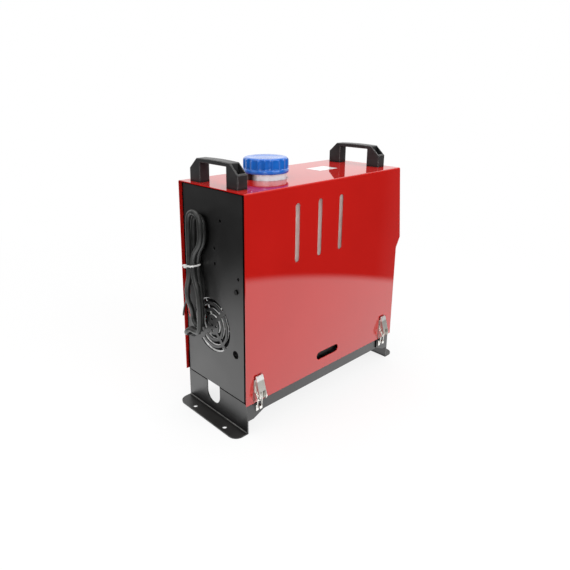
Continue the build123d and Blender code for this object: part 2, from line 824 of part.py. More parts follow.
def casing(low, high):
    """One half of the moulded heater casing, between two heights."""
    with BuildPart() as piece:
        with BuildSketch(Plane.YZ.offset(heater_low_x)) as outer:
            with Locations((machine_y, machine_z)):
                RectangleRounded(heater_width, heater_height, heater_round)
        extrude(amount=heater_high_x - heater_low_x)
        with BuildSketch(Plane.YZ.offset(heater_low_x + heater_wall)) as inner:
            with Locations((machine_y, machine_z)):
                walls = 2 * heater_wall
                RectangleRounded(heater_width - walls, heater_height - walls, heater_round - heater_wall)
        extrude(amount=heater_high_x - heater_low_x - 2 * heater_wall, mode=Mode.SUBTRACT)
        mouth = fan_radius + fan_mouth_gap
        rod_x(mouth, heater_low_x - 1, heater_low_x + overcut, machine_y, machine_z, Mode.SUBTRACT)
        bore = outlet_radius - outlet_wall
        rod_x(bore, heater_high_x - overcut, heater_high_x + 1, machine_y, machine_z, Mode.SUBTRACT)
        for x, radius in ((exhaust_x, exhaust_radius), (air_x, air_radius)):
            pipe_hole = radius + stub_step + running_gap
            rod_z(pipe_hole, heater_bottom - 1, heater_bottom + overcut, x, machine_y, mode=Mode.SUBTRACT)
        keep = 2 * cover_height
        block((-keep, keep), (-keep, keep), (high, high + keep), mode=Mode.SUBTRACT)
        block((-keep, keep), (-keep, keep), (low - keep, low), mode=Mode.SUBTRACT)
    return piece


write(casing(split_z, machine_z + heater_height), "heater_upper_shell")
write(casing(heater_bottom - overcut, split_z), "heater_lower_shell")

with BuildPart() as outlet_collar:
    rod_x(outlet_radius, heater_high_x, outlet_reach, machine_y, machine_z)
    rod_x(outlet_radius + outlet_shoulder, heater_high_x, outlet_shoulder_x, machine_y, machine_z)
    flange_x = (heater_high_x, heater_high_x + collar_flange_sheet)
    rod_x(outlet_radius + collar_flange, *flange_x, machine_y, machine_z)
    bore_x = (heater_high_x - 1, outlet_reach + 1)
    rod_x(outlet_radius - outlet_wall, *bore_x, machine_y, machine_z, Mode.SUBTRACT)
    chamfer(outlet_collar.edges().group_by(Axis.X)[-1], length=collar_bevel)
write(outlet_collar, "outlet_collar")

# ---- stand, gasket and pipe stubs ----
with BuildPart() as heater_stand:
    stand_x = (-stand_half_length, stand_half_length)
    floor_z = tray_bottom + tray_sheet
    block(stand_x, (-stand_half_width, stand_half_width), (stand_top - stand_sheet, stand_top))
    for side in (-1, 1):
        leg = (side * (stand_half_width - stand_sheet), side * stand_half_width)
        block(stand_x, leg, (floor_z, stand_top))
        foot_pad = (side * stand_half_width, side * (stand_half_width + stand_pad))
        block(stand_x, foot_pad, (floor_z, floor_z + stand_sheet))
    for x, radius in ((exhaust_x, exhaust_radius), (air_x, air_radius)):
        pipe_hole = radius + stub_step + running_gap
        rod_z(pipe_hole, stand_top - overcut, stand_top + overcut, x, machine_y, mode=Mode.SUBTRACT)
write(heater_stand, "heater_stand")

with BuildPart() as heater_gasket:
    gasket_x = (air_x - gasket_half, exhaust_x + gasket_half)
    gasket_y = (machine_y - gasket_half, machine_y + gasket_half)
    block(gasket_x, gasket_y, (stand_top, heater_bottom))
    fillet(heater_gasket.edges().filter_by(Axis.Z), radius=gasket_round)
    for x, radius in ((exhaust_x, exhaust_radius), (air_x, air_radius)):
        pipe_hole = radius + stub_step + running_gap
        rod_z(pipe_hole, stand_top - overcut, stand_top + overcut, x, machine_y, mode=Mode.SUBTRACT)
write(heater_gasket, "heater_gasket")

shell_floor = heater_bottom + heater_wall
for label, x, radius in (
    ("exhaust_stub", exhaust_x, exhaust_radius),
    ("combustion_air_stub", air_x, air_radius),
):
    with BuildPart() as stub:
        rod_z(radius, stub_low, shell_floor, x, machine_y)
        rod_z(radius + stub_step, stub_step_z, shell_floor, x, machine_y)
        rod_z(radius - stub_wall, stub_low - 1, shell_floor + 1, x, machine_y, mode=Mode.SUBTRACT)
    write(stub, label)

# ---- burner end ----
with BuildPart() as heat_exchanger:
    with BuildSketch(Plane.YZ.offset(exchanger_low_x)) as fins:
        with Locations((machine_y, machine_z)):
            Circle(exchanger_radius)
            fin_root = exchanger_radius - exchanger_root
            with PolarLocations((fin_root + exchanger_fin_radius) / 2, exchanger_fins):
                Rectangle(exchanger_fin_radius - fin_root, exchanger_fin_sheet)
    extrude(amount=exchanger_high_x - exchanger_low_x)
    pad_low = machine_z - exchanger_radius
    pad_x = (air_x - exchanger_pad_half, exhaust_x + exchanger_pad_half)
    pad_y = (machine_y - exchanger_pad_half, machine_y + exchanger_pad_half)
    block(pad_x, pad_y, (shell_floor, pad_low + exchanger_pad_rise))
    for x, radius in ((exhaust_x, exhaust_radius), (air_x, air_radius)):
        port_top = pad_low + 2 * exchanger_wall
        rod_z(radius - stub_wall, shell_floor - 1, port_top, x, machine_y, mode=Mode.SUBTRACT)
    chamber = exchanger_radius - exchanger_wall
    chamber_x = (exchanger_low_x - 1, exchanger_high_x - exchanger_wall)
    rod_x(chamber, *chamber_x, machine_y, machine_z, Mode.SUBTRACT)
write(heat_exchanger, "heat_exchanger")

with BuildPart() as burner_tube:
    burner_radius = chamber - burner_gap
    burner_end = exchanger_high_x - burner_short
    rod_x(chamber - slip_fit, exchanger_low_x, exchanger_low_x + burner_flange, machine_y, machine_z)
    rod_x(burner_radius, exchanger_low_x, burner_end, machine_y, machine_z)
    tube_x = (exchanger_low_x + burner_flange + burner_wall, burner_end + 1)
    rod_x(burner_radius - burner_wall, *tube_x, machine_y, machine_z, Mode.SUBTRACT)
write(burner_tube, "burner_tube")

with BuildPart() as glow_plug:
    plug_x = exchanger_low_x + plug_inset
    seat = machine_z + exchanger_fin_radius
    rod_z(plug_radius, seat, seat + plug_height, plug_x, machine_y)
write(glow_plug, "glow_plug")

# ---- fan motor and rotor ----
motor_high_x = motor_low_x + motor_length
with BuildPart() as fan_motor:
    rod_x(motor_radius, motor_low_x, motor_high_x, machine_y, machine_z)
    with BuildSketch(Plane.YZ.offset(motor_high_x)) as bulkhead:
        with Locations((machine_y, machine_z)):
            gap = 2 * (heater_wall + running_gap)
            RectangleRounded(heater_width - gap, heater_height - gap, heater_round - heater_wall)
            with PolarLocations(bulkhead_vent_ring, bulkhead_vents):
                Circle(bulkhead_vent_radius, mode=Mode.SUBTRACT)
    extrude(amount=bulkhead_sheet)
    bore_x = (motor_low_x - 1, motor_high_x + bulkhead_sheet + 1)
    rod_x(shaft_radius + slip_fit, *bore_x, machine_y, machine_z, Mode.SUBTRACT)
write(fan_motor, "fan_motor")

wheel_x = motor_high_x + bulkhead_sheet + wheel_standoff
with BuildPart() as rotor_shaft:
    rod_x(shaft_radius, fan_x - shaft_front, wheel_x + wheel_hub_length, machine_y, machine_z)
write(rotor_shaft, "rotor_shaft")

with BuildPart() as main_fan:
    rod_x(fan_hub_radius, fan_x - fan_hub_front, fan_x + fan_hub_back, machine_y, machine_z)
    blade_plane = Plane(origin=(fan_x, machine_y, machine_z), x_dir=(1, 0, 0), z_dir=(0, 0, 1))
    with BuildSketch(blade_plane.offset(fan_hub_radius - 1)) as root:
        Rectangle(blade_root_chord, blade_root_sheet, rotation=blade_root_pitch)
    with BuildSketch(blade_plane.offset(fan_radius)):
        Rectangle(blade_tip_chord, blade_tip_sheet, rotation=blade_tip_pitch)
    blade = loft(mode=Mode.PRIVATE)
    for index in range(fan_blades):
        add(blade.rotate(Axis((fan_x, machine_y, machine_z), (1, 0, 0)), index * 360 / fan_blades))
    hub_x = (fan_x - fan_hub_front - 1, fan_x + fan_hub_back + 1)
    rod_x(shaft_radius, *hub_x, machine_y, machine_z, Mode.SUBTRACT)
write(main_fan, "main_fan")

with BuildPart() as combustion_wheel:
    rod_x(wheel_radius, wheel_x, wheel_x + wheel_sheet, machine_y, machine_z)
    rod_x(wheel_hub_radius, wheel_x, wheel_x + wheel_hub_length, machine_y, machine_z)
    with BuildSketch(Plane.YZ.offset(wheel_x + wheel_sheet)) as vanes:
        with Locations((machine_y, machine_z)):
            with PolarLocations(vane_ring, wheel_vanes):
                Rectangle(vane_length, vane_sheet, rotation=vane_turn)
    extrude(amount=vane_height)
    bore_x = (wheel_x - 1, wheel_x + wheel_hub_length + vane_height)
    rod_x(shaft_radius, *bore_x, machine_y, machine_z, Mode.SUBTRACT)
write(combustion_wheel, "combustion_wheel")

# ---- guard behind the grille ----
with BuildPart() as intake_guard:
    guard_x = -foot_face_x + guard_standoff
    with BuildSketch(Plane.YZ.offset(guard_x)) as rings:
        with Locations((machine_y, machine_z)):
            for radius in sorted(guard_ring_radii, reverse=True):
                Circle(radius)
                Circle(radius - guard_ring_width, mode=Mode.SUBTRACT)
            Rectangle(2 * guard_ring_radii[-1] - 1, guard_ring_width)
            Rectangle(guard_ring_width, 2 * guard_ring_radii[-1] - 1)
    extrude(amount=guard_thickness)
    tab_offset = (guard_ring_radii[-1] + 1.0) / math.sqrt(2)
    for side_y, side_z in ((1, 1), (1, -1), (-1, 1), (-1, -1)):
        tab_y = machine_y + side_y * tab_offset
        tab_z = machine_z + side_z * tab_offset
        rod_x(guard_tab_radius, -foot_face_x, guard_x + guard_thickness, tab_y, tab_z)
write(intake_guard, "intake_guard")

# ---- control unit ----
with BuildPart() as control_unit:
    roof = machine_z + heater_height / 2 - heater_wall
    unit_y = (machine_y - unit_half_width, machine_y + unit_half_width)
    block((unit_low_x, unit_high_x), unit_y, (roof - unit_height, roof))
write(control_unit, "control_unit")

# ---- control panel on the sloping face ----
face_origin = Vector(slope_top[0], 0, slope_top[1]) + Vector(
    slope_nose[0] - slope_top[0], 0, slope_nose[1] - slope_top[1]
).normalized() * panel_slope_place
slope_out = Vector(slope_top[1] - slope_nose[1], 0, slope_nose[0] - slope_top[0]).normalized()
face_plane = Plane(origin=face_origin, x_dir=(0, 1, 0), z_dir=slope_out)
button_row = -panel_height / 2 + button_edge
button_pitch = (panel_width - 2 * button_margin) / (button_count - 1)
screen_place = panel_height / 2 - screen_margin - screen_height / 2
button_first = -(panel_width / 2 - button_margin)
button_places = [(button_first + index * button_pitch, button_row) for index in range(button_count)]

with BuildPart() as display_bezel:
    with BuildSketch(face_plane) as frame_outline:
        RectangleRounded(panel_width, panel_height, panel_round)
    extrude(amount=panel_thickness)
    chamfer(display_bezel.faces().sort_by(Axis.X)[-1].outer_wire().edges(), length=panel_bevel)
    with BuildSketch(face_plane.offset(panel_floor)) as window:
        with Locations((0, screen_place)):
            RectangleRounded(screen_width, screen_height, screen_round)
        with Locations(*button_places):
            Circle(button_radius + running_gap)
    extrude(amount=panel_thickness, mode=Mode.SUBTRACT)
write(display_bezel, "display_bezel")

with BuildPart() as display_screen:
    with BuildSketch(face_plane.offset(panel_floor)) as glass:
        with Locations((0, screen_place)):
            RectangleRounded(screen_width - screen_play, screen_height - screen_play, screen_round)
    extrude(amount=panel_thickness - panel_floor - screen_recess)
write(display_screen, "display_screen")

for index, place in enumerate(button_places):
    with BuildPart() as button:
        with BuildSketch(face_plane.offset(panel_floor + button_travel + running_gap)) as cap_face:
            with Locations(place):
                Circle(button_radius)
        extrude(amount=panel_thickness - panel_floor)
        chamfer(button.edges().group_by(Axis.X)[-1], length=button_bevel)
    write(button, f"panel_button_{index + 1}")

# ---- fuel line ----
pump_barb_reach = pump_length / 2 + pump_collar + pump_barb
with BuildPart() as fuel_pump:
    rod_x(pump_radius, pump_x - pump_length / 2, pump_x + pump_length / 2, 0, pump_z)
    neck_reach = pump_length / 2 + pump_collar
    rod_x(pump_radius - pump_neck_step, pump_x - neck_reach, pump_x + neck_reach, 0, pump_z)
    rod_x(hose_radius, pump_x - pump_barb_reach, pump_x + pump_barb_reach, 0, pump_z)
write(fuel_pump, "fuel_pump")

with BuildPart() as pump_clamp:
    clamp = (pump_x - clamp_width / 2, pump_x + clamp_width / 2)
    block(clamp, (-clamp_leg / 2, clamp_leg / 2), (floor_z, pump_z - pump_radius))
    block(clamp, (-clamp_foot / 2, clamp_foot / 2), (floor_z, floor_z + clamp_foot_sheet))
    rod_x(pump_radius + clamp_wall, clamp[0], clamp[1], 0, pump_z)
    rod_x(pump_radius + slip_fit, clamp[0] - 1, clamp[1] + 1, 0, pump_z, Mode.SUBTRACT)
write(pump_clamp, "pump_clamp")

with BuildPart() as fuel_filter:
    rod_z(filter_radius, filter_z - filter_length / 2, filter_z + filter_length / 2, filter_x, filter_y)
    rod_z(hose_radius, filter_z - filter_reach, filter_z + filter_reach, filter_x, filter_y)
write(fuel_filter, "fuel_filter")

hose_routes = (
    ((tank_tap_x, tank_tap_y, tank_tap_z), (tank_tap_x, tank_tap_y, tank_tap_z - 8),
     (filter_x, filter_y, filter_z + filter_reach + 8), (filter_x, filter_y, filter_z + filter_reach)),
    ((filter_x, filter_y, filter_z - filter_reach), (filter_x, filter_y, 100.0), (-148.0, 40.0, 70.0),
     (-140.0, 12.0, pump_z), (-124.0, 0.0, pump_z), (pump_x - pump_barb_reach, 0.0, pump_z)),
    ((pump_x + pump_barb_reach, 0.0, pump_z), (-2.0, 0.0, pump_z), (6.0, -10.0, 58.0), (6.0, -20.0, 70.0),
     (6.0, -20.0, stand_top - stand_sheet)),
)
with BuildPart() as fuel_hoses:
    for route in hose_routes:
        radii = []
        for before, corner, after in zip(route, route[1:], route[2:]):
            arrive = Vector(*corner) - Vector(*before)
            leave = Vector(*after) - Vector(*corner)
            turn = math.radians(arrive.get_angle(leave))
            radii.append(0.45 * min(arrive.length, leave.length) / math.tan(turn / 2))
        with BuildLine() as run:
            FilletPolyline(*route, radius=radii)
        with BuildSketch(Plane(origin=run.line @ 0, z_dir=run.line % 0)) as hose_section:
            Circle(hose_radius)
        sweep()
write(fuel_hoses, "fuel_hoses")

# ---- power lead, wound into a hank and tied against the intake end plate ----
inner_layer = -plate_front_x - hank_plate_gap - lead_radius
outer_layer = inner_layer - hank_layer


def sway(start, end):
    """Two tangent arcs between points that are both passed straight along Z."""
    aside = Vector(end[0] - start[0], end[1] - start[1], 0)
    rise = end[2] - start[2]
    radius = (rise**2 + aside.length**2) / (4 * aside.length)
    half_turn = math.asin(abs(rise) / 2 / radius) / 2
    across = aside.normalized() * (radius * (1 - math.cos(half_turn)))
    along = Vector(0, 0, math.copysign(radius * math.sin(half_turn), rise))
    first, last = Vector(*start), Vector(*end)
    middle = (first + last) * 0.5
    ThreePointArc(first, first + across + along, middle)
    ThreePointArc(middle, last - across - along, last)


def loop_side(layer, y_from, y_waist, y_to, z_from, z_to):
    """One long side of a loop: straight, drawn in to the tie, out again, straight."""
    down = z_to < z_from
    upper = hank_waist_z + hank_waist_straight
    lower = hank_waist_z - hank_waist_straight
    enter, leave = (upper, lower) if down else (lower, upper)
    reach = -hank_sway if down else hank_sway
    Line((layer, y_from, z_from), (layer, y_from, enter - reach))
    sway((layer, y_from, enter - reach), (layer, y_waist, enter))
    Line((layer, y_waist, enter), (layer, y_waist, leave))
    sway((layer, y_waist, leave), (layer, y_to, leave + reach))
    if abs(leave + reach - z_to) > running_gap:
        Line((layer, y_to, leave + reach), (layer, y_to, z_to))


layers = (outer_layer, inner_layer)
loop_tops = (hank_top - lead_radius, hank_top - lead_radius - hank_loop_drop)
loop_floor = hank_bottom + lead_radius
loop_floors = (loop_floor, loop_floor + hank_floor_step)
with BuildPart() as lead_hank:
    with BuildLine() as hank_path:
        low_right, low_left = hank_lower_sides[0]
        low_middle = (low_right + low_left) / 2
        low_half = low_middle - low_right
        start_y = low_middle + lead_radius * 2
        corner = low_half * (1 - math.sqrt(0.5))
        side_low = loop_floor + low_half
        Line((outer_layer, start_y, loop_floor), (outer_layer, low_middle, loop_floor))
        ThreePointArc(
            (outer_layer, low_middle, loop_floor),
            (outer_layer, low_right + corner, loop_floor + corner),
            (outer_layer, low_right, side_low),
        )
        for index, top in enumerate(loop_tops):
            layer = layers[index]
            high_right, high_left = hank_upper_sides[index]
            middle = (high_right + high_left) / 2
            springing = top - (middle - high_right)
            low_right = hank_lower_sides[index][0]
            loop_side(layer, low_right, hank_waist_right, high_right, side_low, springing)
            ThreePointArc(
                (layer, high_right, springing), (layer, middle, top),
                (layer, high_left, springing),
            )
            if index == 0:
                low_right, low_left = hank_lower_sides[1]
                low_half = (low_left - low_right) / 2
                side_low = loop_floors[1] + low_half
                climb_z = hank_waist_z - hank_waist_straight - hank_sway
                loop_side(layer, high_left, hank_waist_left, low_left, springing, climb_z)
                sway((outer_layer, low_left, climb_z), (inner_layer, low_left, side_low))
                ThreePointArc(
                    (inner_layer, low_left, side_low),
                    (inner_layer, low_right + low_half, loop_floors[1]),
                    (inner_layer, low_right, side_low),
                )
        tail_y = high_left
        tail_bend_z = hank_waist_z - hank_waist_straight
        Line((inner_layer, tail_y, springing), (inner_layer, tail_y, tail_bend_z))
        sway((inner_layer, tail_y, tail_bend_z), (inner_layer, lead_end_y, lead_end_z))
    with BuildSketch(Plane(origin=hank_path.line @ 0, z_dir=hank_path.line % 0)) as lead_section:
        Circle(lead_radius)
    sweep()
write(lead_hank, "lead_hank")


def free_tube(route, radius, named):
    """A tube along straight runs joined by arcs as large as the runs allow."""
    corners = []
    for before, corner_at, after in zip(route, route[1:], route[2:]):
        arrive = Vector(*corner_at) - Vector(*before)
        leave = Vector(*after) - Vector(*corner_at)
        bend = math.radians(arrive.get_angle(leave))
        corners.append(0.45 * min(arrive.length, leave.length) / math.tan(bend / 2))
    print(named, "bend radii", [round(value, 1) for value in corners])
    with BuildPart() as tube:
        with BuildLine() as centre:
            FilletPolyline(*route, radius=corners)
        with BuildSketch(Plane(origin=centre.line @ 0, z_dir=centre.line % 0)):
            Circle(radius)
        sweep()
    print(named, "length", round(centre.wire().length, 1))
    return tube


lead_route = (
    (-plate_front_x, grommet_y, grommet_z),
    (-180.0, grommet_y, grommet_z),
    (-184.8, 48.5, 124.5),
    (outer_layer, 40.4, loop_floor),
    (outer_layer, start_y, loop_floor),
)
write(free_tube(lead_route, lead_radius, "power lead"), "power_lead")
black_route = (
    (inner_layer, lead_end_y + 1.8, lead_end_z),
    (inner_layer, lead_end_y + 1.8, 186.0),
    (inner_layer - 0.5, 55.4, 179.0),
    (inner_layer - 1.0, 59.0, 167.0),
    (inner_layer - 2.0, 65.0, 154.0),
    (inner_layer - 1.0, 68.5, 141.5),
)
write(free_tube(black_route, core_radius, "black conductor"), "black_conductor")
red_route = (
    (inner_layer, lead_end_y - 1.8, lead_end_z),
    (inner_layer, lead_end_y - 1.8, 186.0),
    (inner_layer - 0.5, 51.2, 179.0),
    (inner_layer - 1.0, 53.4, 170.0),
    (inner_layer - 1.0, 53.0, 157.0),
    (inner_layer, 51.0, 145.0),
)
write(free_tube(red_route, core_radius, "red conductor"), "red_conductor")

# Least gap of the hank to itself, measured on points along its path
steps = 260
hank_wire = hank_path.wire()
samples = [hank_wire @ (index / steps) for index in range(steps + 1)]
spacing = hank_wire.length / steps
skip = int(math.pi * lead_radius / spacing) + 1
least = min(
    (samples[i] - samples[j]).length
    for i in range(0, steps + 1)
    for j in range(i + skip, steps + 1)
    if abs(samples[i].Z - samples[j].Z) < 4 * lead_radius
)
print("hank length", round(hank_wire.length, 1), "least gap to itself", round(least - 2 * lead_radius, 2))

with BuildPart() as cable_grommet:
    plate_back = -plate_front_x + plate_sheet
    ends = (-plate_front_x - grommet_lip, plate_back + grommet_lip)
    rod_x(lead_radius + grommet_flange, ends[0], -plate_front_x, grommet_y, grommet_z)
    rod_x(lead_radius + grommet_neck, -plate_front_x, plate_back, grommet_y, grommet_z)
    rod_x(lead_radius + grommet_flange, plate_back, ends[1], grommet_y, grommet_z)
    rod_x(lead_radius + grommet_fit, ends[0] - 1, ends[1] + 1, grommet_y, grommet_z, Mode.SUBTRACT)
    chamfer(cable_grommet.edges().group_by(Axis.X)[0].sort_by(SortBy.LENGTH)[-1], length=grommet_bevel)
write(cable_grommet, "cable_grommet")

with BuildPart() as cable_tie:
    tie_low_y = hank_waist_right - lead_radius - tie_gap
    tie_high_y = hank_waist_left + lead_radius + tie_gap
    tie_centre = ((inner_layer + outer_layer) / 2, (tie_low_y + tie_high_y) / 2, hank_waist_z)
    band = Plane(origin=tie_centre, x_dir=(1, 0, 0), z_dir=(0, math.sin(math.radians(tie_tilt)), 1))
    depth = hank_layer + 2 * (lead_radius + tie_gap)
    width = (tie_high_y - tie_low_y) / math.cos(math.radians(tie_tilt))
    with BuildSketch(band) as strap:
        RectangleRounded(depth + 2 * tie_sheet, width + 2 * tie_sheet, lead_radius)
        RectangleRounded(depth, width, lead_radius - tie_sheet, mode=Mode.SUBTRACT)
        head_place = -(depth + tie_head_reach) / 2 + slip_fit
        with Locations((head_place, width / 2 - tie_head_inset)):
            Rectangle(tie_head_reach, tie_head_width)
        with Locations((head_place, width / 2 + tie_tail_inset)):
            Rectangle(tie_sheet, tie_tail_length)
    extrude(amount=tie_width / 2, both=True)
write(cable_tie, "cable_tie")

with BuildPart() as crimp_sleeves:
    for route in (black_route, red_route):
        top, low = Vector(*route[0]), Vector(*route[1])
        course = (low - top).normalized()
        with BuildSketch(Plane(origin=top + course * crimp_start, z_dir=course)):
            Circle(core_radius + slip_fit + crimp_wall)
            Circle(core_radius + slip_fit, mode=Mode.SUBTRACT)
        extrude(amount=crimp_length)
write(crimp_sleeves, "crimp_sleeves")

# ---- chassis screws ----
with BuildPart() as chassis_screws:
    for y, z in plate_screw_places:
        rod_x(plate_screw_head_radius, -plate_front_x - plate_screw_head, -plate_front_x, y, z)
        rod_x(plate_screw_radius - slip_fit, -plate_front_x, -foot_face_x, y, z)
write(chassis_screws, "chassis_screws")
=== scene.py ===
"""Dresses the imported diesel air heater: finishes, lead, small details, floor, lights and camera."""

import json
import math
from typing import NamedTuple

import bmesh
import bpy
from mathutils import Matrix, Vector


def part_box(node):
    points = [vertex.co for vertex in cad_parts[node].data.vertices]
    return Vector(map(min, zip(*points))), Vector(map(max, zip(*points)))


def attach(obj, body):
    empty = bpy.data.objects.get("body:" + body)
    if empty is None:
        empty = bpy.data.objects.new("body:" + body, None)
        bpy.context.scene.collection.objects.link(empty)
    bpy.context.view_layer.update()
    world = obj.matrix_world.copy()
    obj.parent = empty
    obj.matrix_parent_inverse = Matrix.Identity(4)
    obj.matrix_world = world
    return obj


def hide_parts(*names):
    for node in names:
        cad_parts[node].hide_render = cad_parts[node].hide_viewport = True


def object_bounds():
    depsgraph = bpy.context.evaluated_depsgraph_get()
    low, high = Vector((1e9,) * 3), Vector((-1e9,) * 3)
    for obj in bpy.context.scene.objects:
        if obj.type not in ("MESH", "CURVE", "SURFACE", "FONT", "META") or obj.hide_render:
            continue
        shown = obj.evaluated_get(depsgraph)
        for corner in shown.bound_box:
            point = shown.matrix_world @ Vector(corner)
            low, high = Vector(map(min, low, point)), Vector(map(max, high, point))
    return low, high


bl_info = {
    "name": "Diesel Air Heater",
    "version": (1, 0, 0),
    "blender": (4, 5, 0),
    "location": "View3D > Sidebar > Heater",
    "description": "Builds the looks of a portable diesel air heater around its packed CAD model",
    "category": "Object",
}

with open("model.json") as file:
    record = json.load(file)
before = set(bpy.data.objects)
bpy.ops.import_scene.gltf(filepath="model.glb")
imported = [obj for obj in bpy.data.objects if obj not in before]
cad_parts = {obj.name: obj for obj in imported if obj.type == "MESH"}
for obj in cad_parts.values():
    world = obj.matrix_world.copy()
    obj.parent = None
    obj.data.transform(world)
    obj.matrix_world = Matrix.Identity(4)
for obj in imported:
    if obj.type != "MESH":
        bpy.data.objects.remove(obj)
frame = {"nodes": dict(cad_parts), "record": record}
cad_low, cad_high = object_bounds()

MM = 0.001
WHITE = (1.0, 1.0, 1.0, 1.0)
BLACK = (0.0, 0.0, 0.0, 1.0)


# ---- finishes ----


class Look(NamedTuple):
    """One finish. Lengths are in metres."""

    base: tuple
    drift: tuple  # second colour, of the clouds or the drawn lines
    size: float  # across a cloud of drift, or across a drawn line
    rough: tuple  # smoothest and roughest
    kind: str = "drift"  # drift, brush for drawn metal, or tank
    grain: float = 0.0006  # across a grain
    height: float = 0.00001  # of the grain or the drawn lines
    metallic: float = 0.0
    coat: float = 0.0
    coat_rough: float = 0.1
    wear_and_highlight: float = 0.0  # how much the edges are lightened, as wear and, on the handles, as painted highlight
    rubbed_and_highlit: tuple = ()  # colour of the lightened edges, given for the handles' painted highlight, or none for a lighter base colour
    dust: float = 0.0  # how much dust lies on what faces up
    crevice: float = 0.0  # how near another surface has to stand to darken this one with painted shade
    specular: float = 0.5


